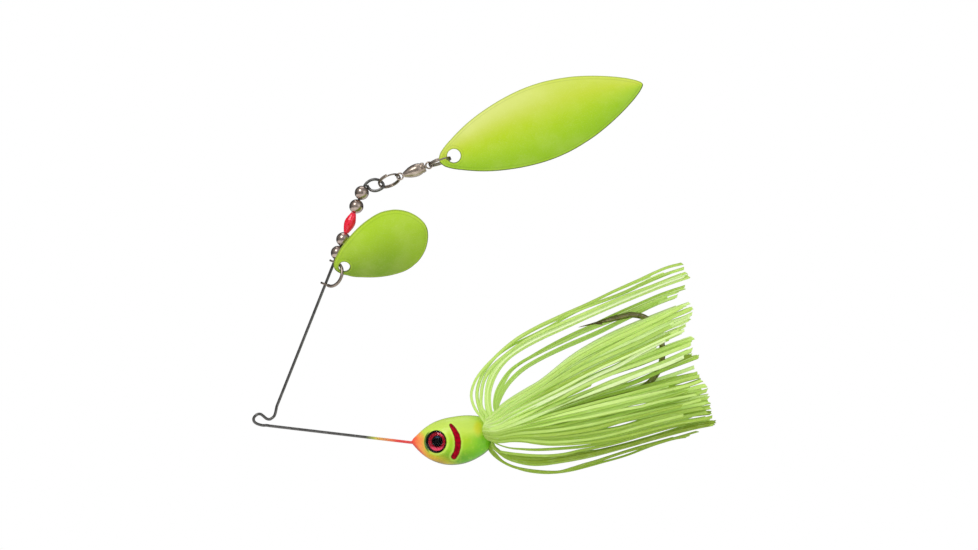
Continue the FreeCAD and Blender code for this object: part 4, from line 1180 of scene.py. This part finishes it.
# ---------------------------------------------------------------- skirt strands
# Guide curves as x, z points. The strands of a group run between its guides.
GUIDES = {
    "top": [
        [(53.8537, 1.3659), (52.2439, 3.6585), (51.9024, 5.8537), (52.4878, 8.5366),
         (54.0732, 11.2195), (56.1463, 13.5366), (58.5854, 15.9756), (62.4878, 19.2683),
         (66.878, 21.9024), (72.9756, 24.878), (80.2927, 28.0488), (86.878, 31.0976),
         (92.9756, 33.9024), (98.8293, 36.4634), (103.2195, 37.8049)],
        [(54.9268, 1.4634), (53.8537, 4.3902), (53.8293, 7.0732), (54.6829, 10),
         (56.3902, 12.561), (58.8293, 15.122), (62.7317, 18.2927), (67.6098, 21.0976),
         (74.1951, 24.0244), (80.7805, 26.8293), (86.878, 29.5122), (92.9756, 32.0732),
         (99.0732, 34.3902), (103.9512, 36.0976)],
        [(56.6341, 1.4634), (56.2683, 4.878), (56.7561, 8.0488), (58.0976, 11.2195),
         (60.2927, 14.1463), (63.7073, 16.7073), (68.5854, 19.3902), (74.6829, 22.1951),
         (80.7805, 25.0732), (86.878, 27.8049), (92.9756, 30.3659), (99.0732, 32.8049),
         (104.8049, 34.6829)]],
    "upper": [
        [(57.3659, 1.9512), (57.4878, 5.3659), (59.0732, 8.7805), (62.2439, 12.3171),
         (65.9024, 14.878), (70.7805, 17.8049), (76.1463, 20.6098), (81.5122, 23.0488),
         (87.122, 25.7317), (92.7317, 28.1463), (98.3415, 30.4878), (103.9512, 32.2927)],
        [(57.8537, 1.7073), (58.8293, 4.878), (60.7805, 8.2927), (64.439, 11.9512),
         (68.8293, 14.6829), (73.7073, 17.0244), (79.0732, 19.3171), (84.6829, 21.7561),
         (90.0488, 24.1463), (94.9268, 26.4634), (99.0732, 28.5854), (102.9756, 30.122)]],
    "fan_up": [
        [(57.3659, 1.4634), (60.0488, 3.6585), (63.7073, 6.2195), (68.8293, 9.2683),
         (72.9756, 12.561), (76.6341, 15.3659), (80.7805, 17.9268), (86.1463, 20.7317),
         (92, 23.2927), (97.8537, 25.7317), (102.4878, 27.561), (105.9024, 28.7805)],
        [(57.3659, 0.2439), (60.7805, 2.6829), (66.1463, 5.6098), (72.4878, 9.5122),
         (79.0732, 13.4146), (86.1463, 16.8293), (92.9756, 20), (99.8049, 23.1707),
         (106.6341, 26.4634)],
        [(57.3659, -0.7317), (61.2683, 1.7073), (67.6098, 4.878), (74.9268, 8.5366),
         (82.2439, 12.1951), (89.561, 15.7317), (96.6341, 19.2683), (104.6829, 23.2927)],
        [(57.6098, -1.7073), (62.2439, 0.7317), (69.0732, 3.9024), (76.3902, 7.439),
         (83.7073, 11.2195), (90.5366, 14.7561), (97.3659, 18.2927), (104.1951, 21.4634)]],
    "mid": [
        [(57.6098, -1.4634), (63.7073, 1.3415), (72.2439, 5.6098), (80.7805, 10),
         (86.878, 12.9268), (92.9756, 15.2439), (99.8049, 17.8049), (106.8049, 20.2439)],
        [(57.6098, -2.1951), (63.7073, 0.4878), (72.4878, 4.7561), (81.2683, 9.2683),
         (87.122, 11.9512), (92.9756, 14.1463), (99.8049, 16.7073), (106.0244, 19.0244)],
        [(57.6098, -2.439), (64.1951, 0), (73.4634, 4.0244), (82, 7.561),
         (88.0976, 10), (93.4634, 11.8293), (99.8049, 14.3902), (106.3902, 17.3171)],
        [(57.6098, -2.6829), (64.1951, -0.4878), (73.4634, 3.2927), (82, 6.7073),
         (88.0976, 9.0244), (93.4634, 10.9756), (99.3171, 13.4146), (105.1707, 16.0976)],
        [(57.6098, -2.9268), (64.1951, -0.9756), (73.4634, 2.439), (82, 5.7317),
         (88.0976, 8.0488), (93.4634, 10), (99.8049, 12.439), (108.0976, 15.6098)]],
    "fan_low": [
        [(57.6098, -2.9268), (62.2439, -1.2195), (69.8049, 1.4634), (77.122, 3.9024),
         (84.439, 6.0976), (92.4878, 8.4146), (99.8049, 10.7317), (108.0976, 13.2927)],
        [(57.6098, -3.4146), (62.4878, -2.1951), (70.5366, -0.122), (78.3415, 1.8293),
         (86.878, 4.0244), (95.4146, 6.2195), (102.7317, 8.1707), (109.561, 10.2439)],
        [(57.6098, -4.1463), (62.7317, -3.0488), (71.0244, -2.0732), (79.561, -0.6098),
         (88.0976, 1.3415), (96.6341, 3.4146), (103.9512, 5), (110.2927, 6.5854)],
        [(57.6098, -4.878), (62.7317, -4.2683), (71.0244, -4.0244), (79.561, -3.0488),
         (88.0976, -1.2195), (96.6341, 0.8537), (103.9512, 2.3171), (110.9024, 3.4146)],
        [(57.6098, -5.6098), (63.2195, -5.2439), (70.5366, -6.0976), (79.561, -5.7317),
         (87.122, -4.5122), (94.9268, -2.561), (103.7073, -0.4878), (111.5122, 0.7317)]],
    "low_mid": [
        [(57.3659, -6.0976), (60.5366, -8.2927), (65.6585, -9.0244), (71.5122, -8.7805),
         (78.3415, -7.6829), (86.1463, -6.3415), (94.439, -4.2683), (103.7073, -1.8293),
         (112.2439, -0.122)],
        [(57.122, -6.8293), (60.2927, -9.3902), (66.6341, -11.0976), (72.9756, -10.4878),
         (80.7805, -9.0244), (89.0732, -6.8293), (97.3659, -4.5122), (105.1707, -2.561),
         (111.7561, -1.1707)]],
    "bottom": [
        [(56.7561, -7.3171), (59.8049, -10.3659), (64.6829, -11.9512), (70.5366, -12.2439),
         (78.3415, -11.2195), (85.6585, -9.1463), (92.9756, -6.8293), (99.3171, -5.122),
         (106.878, -2.9268)],
        [(56.3902, -7.561), (57.3659, -9.5122), (60.0488, -10.4878), (63.7073, -12.3415),
         (68.8293, -13.3171), (73.4634, -13.1707), (78.8293, -12.0976), (84.9268, -10.2927),
         (91.0244, -8.3415), (97.122, -6.1951), (101.2683, -4.9756), (107.3659, -4.1463)]],
}
# two single strands that cross the hollow above the bottom lobe
CROSSING = [
    [(57.3659, -5.6098), (60.7805, -6.9756), (66.1463, -7.561), (71.5122, -7.2683),
     (79.561, -6.5854), (88.0976, -4.878), (97.8537, -2.1951), (110.5366, 0.4878)],
    [(57.122, -6.0976), (59.561, -7.3171), (63.7073, -8.0488), (70.5366, -8.2927),
     (78.3415, -7.561), (86.6341, -5.8537), (96.6341, -3.1707), (109.8049, -0.4878)]]
# Places where the strands part and light comes through: x, z of both ends, half gap
SLITS = [
    (52.4878, 4.1463, 53.2195, 9.0244, 0.1951), (54.6829, 3.6585, 55.4146, 9.5122, 0.1707),
    (58.0244, 15, 62.0732, 17.6341, 0.1951), (63.9024, 19.5122, 72.6585, 23.9512, 0.2195),
    (75.0976, 24.561, 81.5854, 27.6098, 0.2195), (83.6341, 29.2683, 92.561, 32.9268, 0.2195),
    (94.1951, 32.2683, 102.2439, 35.9268, 0.1951), (96.6341, 35.3659, 101.7561, 37.1951, 0.1951),
    (64.3171, 13.4146, 74.1951, 18.2927, 0.1951), (75.1707, 18.7805, 84.8537, 22.9268, 0.1951),
    (86.3902, 22.1951, 91.2683, 24.3902, 0.1951), (93.2195, 25.8537, 99.8049, 28.5366, 0.1463),
    (58.9512, 2.1951, 61.7561, 4.1463, 0.1951), (72.7317, -1.3415, 74.9268, -0.4878, 0.2927),
    (82.4878, 0.4878, 85.4146, 0.7317, 0.1951), (84.9268, -2.1951, 92.2439, -0.2439, 0.2927),
    (90.2927, 3.2927, 93.4634, 3.5366, 0.1951), (104.6829, 0.122, 107.8537, 0.6098, 0.2439),
    (87.6098, -6.3415, 103.9512, -1.3415, 0.1707), (84.6829, -10, 92.4878, -7.561, 0.1951),
    (64.1951, -11.8293, 71.7561, -12.6341, 0.1463), (81.7561, 11.3415, 92.9756, 15.8537, 0.1951),
    (94.1951, 16.3415, 105.1707, 20.9756, 0.2195), (81.2683, 8.6585, 92.9756, 12.439, 0.1951),
    (88.5122, 8.2927, 97.0488, 11.9512, 0.1951), (60.2927, -6.0976, 68.0976, -6.9512, 0.3171),
    (60.5366, -7.6829, 70.7805, -8.4146, 0.3171), (104.6829, 6.8293, 108.5854, 7.561, 0.1707),
    (106.1463, 4.1463, 109.561, 4.6341, 0.1707), (101.2683, 26.0976, 105.1707, 27.561, 0.1707),
    (99.8049, 23.9024, 105.1707, 25.7317, 0.1707), (97.8537, 20.9756, 103.7073, 22.9268, 0.1463),
    (104.1951, 10.9756, 107.6098, 12.1951, 0.1707), (102.2439, 8.2927, 106.3902, 9.3902, 0.1707),
]
GUIDE_POINTS = 56
GRIDS = {name: np.array([curve(guide, GUIDE_POINTS) for guide in guides])
         for name, guides in GUIDES.items()}
# how far across and along a slit still moves a strand, and over what length that fades
SLIT_REACH, SLIT_ALONG = 2.1951, 1.9512
REACH_FADE, END_FADE = 0.9756, 1.4634
# a strand this far over on the slit's other side is left alone
OTHER_SIDE = 1.4634
# sideways sway, and the length that counts as one strand in the attributes
SIDE_SWAY = 0.24390
STRAND_LENGTH = 59.756
PINCH_LENGTH = 3.9024
STRAND_SIDES = 12


def between(name, start, end):
    """The curve that starts at one fraction across the group and ends at another."""
    grid = GRIDS[name]
    u = np.linspace(0, 1, GUIDE_POINTS)
    t = np.clip(start + (end - start) * u * u, 0, 1) * (len(grid) - 1)
    i = np.minimum(t.astype(int), len(grid) - 2)
    part = (t - i)[:, None]
    n = np.arange(GUIDE_POINTS)
    return grid[i, n] * (1 - part) + grid[i + 1, n] * part


def part_strand(path, half_width):
    """Pushes a strand's path just clear of every slit it would cross."""
    for x0, z0, x1, z1, half_gap in SLITS:
        start, end = np.array([x0, z0]), np.array([x1, z1])
        length = np.linalg.norm(end - start)
        tangent = (end - start) / length
        normal = np.array([-tangent[1], tangent[0]])
        offset = path - (start + end) / 2
        along, across = offset @ tangent, offset @ normal
        nearest = int(np.argmin(np.abs(along) + 0.2 * np.abs(across)))
        if abs(across[nearest]) > SLIT_REACH or abs(along[nearest]) > SLIT_ALONG:
            continue
        sign = 1.0 if across[nearest] > 0 else -1.0
        need = (half_gap + half_width) * np.exp(-((along / (length * 0.62)) ** 4))
        moved = sign * (np.maximum(sign * across, 0.0) ** 4 + need**4) ** 0.25
        fade = (np.clip((SLIT_REACH - np.abs(across)) / REACH_FADE, 0, 1)
                * np.clip((length * 0.9 + END_FADE - np.abs(along)) / END_FADE, 0, 1))
        push = (moved - across) * np.where(sign * across > -OTHER_SIDE, 1.0, 0.0) * fade
        push = np.convolve(np.pad(push, 3, "edge"), np.array([1, 2, 3, 4, 3, 2, 1]) / 16, "valid")
        path = path + push[:, None] * normal
    return path


def add_strand(bag, path, root, depth_root, depth_tip, width, thick, tone, twists, trim, sway,
               lobe=0.3):
    """One flat strand: root points (x, y, z), then the trimmed x, z path at a growing depth."""
    count = int(GUIDE_POINTS * trim)
    path = path[:count]
    u = np.linspace(0, trim, count)
    phase, side_phase = random.uniform(0, 6.28), random.uniform(0, 6.28)
    grow = np.clip(u * 1.15, 0, 1)
    grow = grow * grow * (3 - 2 * grow)
    depth = (depth_root + (depth_tip - depth_root) * grow
             + sway * 0.4 * np.sin(u * 6 + phase) * grow)
    aside = sway * SIDE_SWAY * np.sin(u * 5.3 + side_phase) * u * (1 - 0.2 * u)
    tangent = np.gradient(path, axis=0)
    tangent /= np.linalg.norm(tangent, axis=1)[:, None]
    normal = np.stack([-tangent[:, 1], tangent[:, 0]], 1)
    path = part_strand(path + normal * aside[:, None], width / 2)
    spots = np.column_stack([path[:, 0], depth, path[:, 1]])
    points = list(root) + list(spots[1::3])
    if (count - 2) % 3:
        points.append(spots[-1])
    rows = count + 14
    path = curve(points, rows)
    length = arc_length(path)
    u = length / STRAND_LENGTH
    tangent = np.gradient(path, axis=0)
    tangent /= np.linalg.norm(tangent, axis=1)[:, None]
    # the flat side leans towards the outside of the bundle
    out = np.array([0, -1.0 if np.mean(depth) < 1.0 else 1.0, 0])
    face = np.zeros_like(tangent)
    face[0] = unit(square_to(out, tangent[0]))
    for i in range(1, rows):
        carried = unit(square_to(face[i - 1], tangent[i]))
        face[i] = unit(carried * 0.9 + square_to(out, tangent[i]) * 0.1)
    side = np.cross(tangent, face)
    twist = (twists[0] + (twists[1] - twists[0]) * length / length[-1]
             + 0.25 * np.sin(u * 9 + phase))
    cos, sin = np.cos(twist)[:, None], np.sin(twist)[:, None]
    half_width = width / 2 * (0.62 + 0.38 * np.clip(length / PINCH_LENGTH, 0, 1))[:, None]
    wide = half_width * (side * cos + face * sin)
    deep = thick / 2 * (face * cos - side * sin)
    # rounded rectangle section
    angles = turn_angles(STRAND_SIDES)
    section = [np.sign(f) * np.abs(f) ** 0.55 for f in (np.cos(angles), np.sin(angles))]
    verts = (path[:, None] + section[0][None, :, None] * wide[:, None]
             + section[1][None, :, None] * deep[:, None])
    # slanted tip
    slant = random.uniform(-0.45, 0.45)
    verts[-1] += (section[0] * slant)[:, None] * tangent[-1]
    bag.add(verts.reshape(-1, 3) * MM, ring_faces(rows, STRAND_SIDES, capped=True),
            along=np.repeat(u, STRAND_SIDES), across=np.tile(section[0], rows), tone=tone,
            lobe=lobe, tipness=np.repeat(length / length[-1], STRAND_SIDES))


def add_group(bag, name, depths, tips, root, count=0, width=(0.85, 1.15), trim=(0.95, 1.0),
              twist=0.6, sway=0.5, cross=0.08, tone=0.55, spread=0.24, starts=None, trims=None,
              painted_lift=0.0):
    """Strands across one group of guides.

    depths and tips are ranges of y at root and tip; starts and trims fix each strand's place
    and length; cross lets strands drift sideways; lift lightens the upper ones, painted light
    against the shadow of the strands above them.
    """
    count = len(starts) if starts else count
    for k in range(count):
        start = starts[k] if starts else (k + random.uniform(-0.35, 0.35)) / (count - 1)
        start = min(max(start, 0.0), 1.0)
        end = min(max(start + random.uniform(-cross, cross), 0.0), 1.0)
        part = (k * 0.618034 + 0.13) % 1.0
        depth_root = depths[0] + (depths[1] - depths[0]) * part
        depth_tip = tips[0] + (tips[1] - tips[0]) * part
        path = between(name, start, end)
        # the order of these draws is part of the design
        root_points = root(path[0], depth_root, start)
        strand_width = random.uniform(*width)
        thick = random.uniform(0.28, 0.36)
        # painted light: the first strands of the group are lightened against the shadow above them
        shade = random.gauss(tone + painted_lift * max(0.0, 1 - start / 0.35), spread)
        twists = random.uniform(-twist, twist), random.uniform(-twist, twist)
        if trims:
            length = trims[k]
        elif random.random() < 0.34:
            length = random.uniform(0.972, 1.0)
        else:
            length = random.uniform(*trim)
        add_strand(bag, path, root_points, depth_root, depth_tip, strand_width, thick,
                   float(np.clip(shade, 0.02, 0.98)), twists, length, sway, tone)


# Root builders: points (x, y, z) from the collar to the path's first point `at` (x, z).
COLLAR_X, COLLAR_Z = 58.8293, -2.4146


def root_top(at, depth, start):
    x, z = at
    if depth < -1.2:
        return [(COLLAR_X, depth * 0.45, -2.0732), (56.6341, depth * 0.8, -1.8537),
                (55.0244 + start * 0.4878, depth, -0.6341), (x + 0.2439, depth, z - 0.5854)]
    return [(58.5854, depth * 0.5, -1.2195),
            (56.2683 + start * 0.2439, depth * 0.75, -0.2927 - start * 0.2439),
            (x + 0.3902, depth * 0.95, z - 0.7317)]


def root_side(sign):
    def root(at, depth, start):
        offset = at[1] - COLLAR_Z
        z = COLLAR_Z + offset * 0.62
        x = 54.7805 + abs(offset) * 0.24 + random.uniform(-0.29268, 0.24390)
        return [(COLLAR_X, sign * 2.2, COLLAR_Z + offset * 0.40),
                (56.7561, sign * 2.85, COLLAR_Z + offset * 0.5),
                (x + 0.3415, sign * 3.4, z), (x, sign * 4.2, z + (at[1] - z) * 0.15),
                (x + 0.7805, sign * 4.9, z + (at[1] - z) * 0.5)]
    return root


def root_low(at, depth, start):
    return [(COLLAR_X, depth * 0.4, -3.7805), (57.3659, depth * 0.6, -4.7561),
            (at[0] - 0.2439, depth * 0.9, at[1] + 0.2439)]


def add_side(bag, sign, count_up, mid_starts, count_low):
    """Upper fan, middle strands long and short, and lower fan of one side (-1 is near)."""
    def reach(first, second):
        return sign * first, sign * second

    root = root_side(sign)
    add_group(bag, "fan_up", reach(3.4, 5.4), reach(1.2, 9.0), root, count=count_up, sway=0.9,
              cross=0.20, tone=0.76, spread=0.20, width=(0.65, 1.05), trim=(0.82, 0.97), twist=0.8)
    add_group(bag, "mid", reach(4.6, 5.6), reach(3.0, 7.5), root, sway=0.25, cross=0.0,
              width=(0.8, 1.05), starts=mid_starts)
    add_group(bag, "mid", reach(3.0, 5.0), reach(3.0, 6.0), root, count=9, sway=0.3, cross=0.10,
              tone=0.5, width=(0.7, 1.0), trim=(0.46, 0.58))
    starts = None
    if sign < 0:
        spaces = count_low - 3
        starts = [0.02, 0.10] + [0.17 + 0.83 * k / spaces + random.uniform(-0.01, 0.01)
                                 for k in range(spaces + 1)]
    add_group(bag, "fan_low", reach(3.2, 5.4), reach(1.2, 9.0), root, count=count_low, sway=0.8,
              cross=0.12, tone=0.30, spread=0.20, width=(0.65, 1.05), trim=(0.83, 0.97),
              twist=0.9, starts=starts, painted_lift=0.34)


def build_skirt():
    bodies = ("skirt_top", "skirt_upper", "skirt_near", "skirt_far", "skirt_bottom")
    bags = {body: Bag() for body in bodies}
    add_group(bags["skirt_top"], "top", (-4.4, 0.8), (-4.4, 1.2), root_top, cross=0.035,
              tone=0.60, spread=0.2, width=(0.5, 0.85), sway=0.9, twist=1.1,
              starts=[0.0, 0.0, 0.01, 0.26, 0.28, 0.31, 0.34, 0.37, 0.62, 0.64, 0.67, 0.70, 0.74,
                      0.78, 0.82, 0.86, 0.89, 0.92, 0.95, 0.97, 0.99, 1.0],
              trims=[1.0, 0.88, 0.93, 0.94, 1.0, 0.90, 0.985, 0.96, 1.0, 0.95, 0.99, 0.93, 0.97,
                     0.99, 0.94, 1.0, 0.985, 0.96, 1.0, 0.95, 0.98, 1.0])
    add_group(bags["skirt_upper"], "upper", (1.8, 3.4), (1.6, 5.4), root_top, cross=0.05,
              tone=0.62, spread=0.2, width=(0.55, 0.85), sway=0.5, twist=0.9,
              starts=[0.0, 0.04, 0.10, 0.17, 0.24, 0.30, 0.37, 0.43, 0.76, 0.83, 0.90, 0.95, 1.0],
              trims=[1.0, 0.97, 0.985, 0.95, 1.0, 0.97, 0.99, 0.93, 0.90, 0.96, 0.985, 0.93, 0.98])
    add_side(bags["skirt_near"], -1, 34, [0.0, 0.04, 0.25, 0.29, 0.5, 0.54, 0.75, 0.79], 36)
    add_side(bags["skirt_far"], 1, 22, [0.0, 0.25, 0.5, 0.52, 0.77, 1.0, 0.97, 0.9, 0.86], 30)
    bottom = bags["skirt_bottom"]
    add_group(bottom, "low_mid", (-3.2, 3.2), (-5.0, 5.0), root_low, count=25, sway=0.8,
              cross=0.20, tone=0.14, spread=0.16, width=(0.55, 0.9), twist=1.1)
    add_group(bottom, "bottom", (-2.0, 2.0), (-3.5, 3.5), root_low, width=(0.50, 0.68), sway=0.4,
              cross=0.03, tone=0.12, spread=0.08, starts=[0.0, 0.08, 0.30, 0.85],
              trims=[1.0, 0.91, 0.97, 0.955])
    for points in CROSSING:
        add_strand(bottom, curve(points, GUIDE_POINTS), root_low(points[0], -3.0, 0),
                   depth_root=-3.2, depth_tip=-4.5, width=0.75, thick=0.32, tone=0.22,
                   twists=(0.5, 0.2), trim=1.0, sway=0.2)
    for body, bag in bags.items():
        verts, faces, attrs = bag.parts()
        obj = mesh_object(body + "_strands", verts, faces, LOOKS["skirt_silicone"], attrs)
        shade_smooth(obj, sharp=60)
        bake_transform(obj)
        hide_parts(body)


# ---------------------------------------------------------------- stage, light, camera
FLOOR_Z, FLOOR_RADIUS, FLOOR_SIDES = -0.045, 0.37, 96
LIGHT_TARGET = (0.055, 0, 0.03)
VIEW_WIDTH = 238.53659
VIEW_X, VIEW_Z = 56.14634, 35.12195


def build_floor():
    mat = new_material("pale_floor")
    material = mat.finish(mat.surface(
        Base_Color=mat.mix(mat.noise(14, detail=4), (238, 238, 236), (246, 246, 245)),
        Roughness=0.8, Normal=mat.bump(mat.noise(800, detail=2), strength=0.05, distance=0.0002)))
    rim = circle(np.array([0.06, 0, FLOOR_Z]), FLOOR_RADIUS, np.array([1, 0, 0]),
                 np.array([0, 1, 0]), FLOOR_SIDES)
    faces = [(0, 1 + k, 1 + (k + 1) % FLOOR_SIDES) for k in range(FLOOR_SIDES)]
    mesh_object("floor", [(0, 0, FLOOR_Z), *rim], faces, material)


def area_light(name, location, size, power, tint=(1, 1, 1)):
    light = bpy.data.lights.new(name, "AREA")
    light.shape, light.size, light.energy, light.color = "SQUARE", size, power, tint
    obj = bpy.data.objects.new(name, light)
    SCENE.collection.objects.link(obj)
    obj.location = location
    obj.rotation_mode = "QUATERNION"
    obj.rotation_quaternion = (Vector(LIGHT_TARGET) - Vector(location)).to_track_quat("-Z", "Y")
    obj.visible_camera = False


def build_world():
    """White to the camera, soft grey light, and a shaded surround for reflections."""
    world = bpy.data.worlds.new("studio")
    SCENE.world = world
    sky = Nodes(world)
    rays = sky.node("LightPath").outputs
    split = sky.node("SeparateXYZ")
    sky.fill(split, sky.node("TexCoord").outputs["Generated"])
    # reflections are brighter towards -Y and from above
    nearness = sky.smooth(split.outputs[1], -0.85, 0.45, low=0.42, high=0.12)
    height = sky.smooth(split.outputs[2], -0.6, 0.7, low=0.35, high=1.25)

    def background(strength):
        return sky.fill(sky.node("Background"), (1, 1, 1, 1), strength)

    lighting = sky.mix_shader(rays["Is Glossy Ray"], background(0.74),
                              background(sky.mul(nearness, height)))
    sky.finish(sky.mix_shader(rays["Is Camera Ray"], lighting, background(1.0)), "OutputWorld")


def build_camera():
    data = bpy.data.cameras.new("camera")
    data.type = "PERSP"
    data.lens, data.sensor_width = 300.0, 36.0
    data.clip_start, data.clip_end = 0.1, 20
    camera = bpy.data.objects.new("camera", data)
    SCENE.collection.objects.link(camera)
    # far enough back for the view to span VIEW_WIDTH
    camera.location = point(VIEW_X, -VIEW_WIDTH * 300.0 / 36.0, VIEW_Z)
    camera.rotation_euler = (math.pi / 2, 0, 0)
    SCENE.camera = camera


build_wire()
build_hook()
build_head()
build_eyes()
build_collar()
build_beads()
build_spindle()
build_clevis()
build_swivel()
build_blades()
build_skirt()
build_floor()
area_light("key", (-0.55, -0.85, 0.95), size=0.55, power=5.5, tint=(1.0, 0.985, 0.96))
area_light("fill", (0.9, -0.9, 0.25), size=0.9, power=1.6, tint=(0.96, 0.98, 1.0))
area_light("top", (0.05, 0.25, 1.1), size=0.7, power=2.0)
build_world()
build_camera()
SCENE.view_settings.view_transform = "Standard"
SCENE.view_settings.look = "None"
SCENE.view_settings.exposure = 0.0
SCENE.view_settings.gamma = 1.0
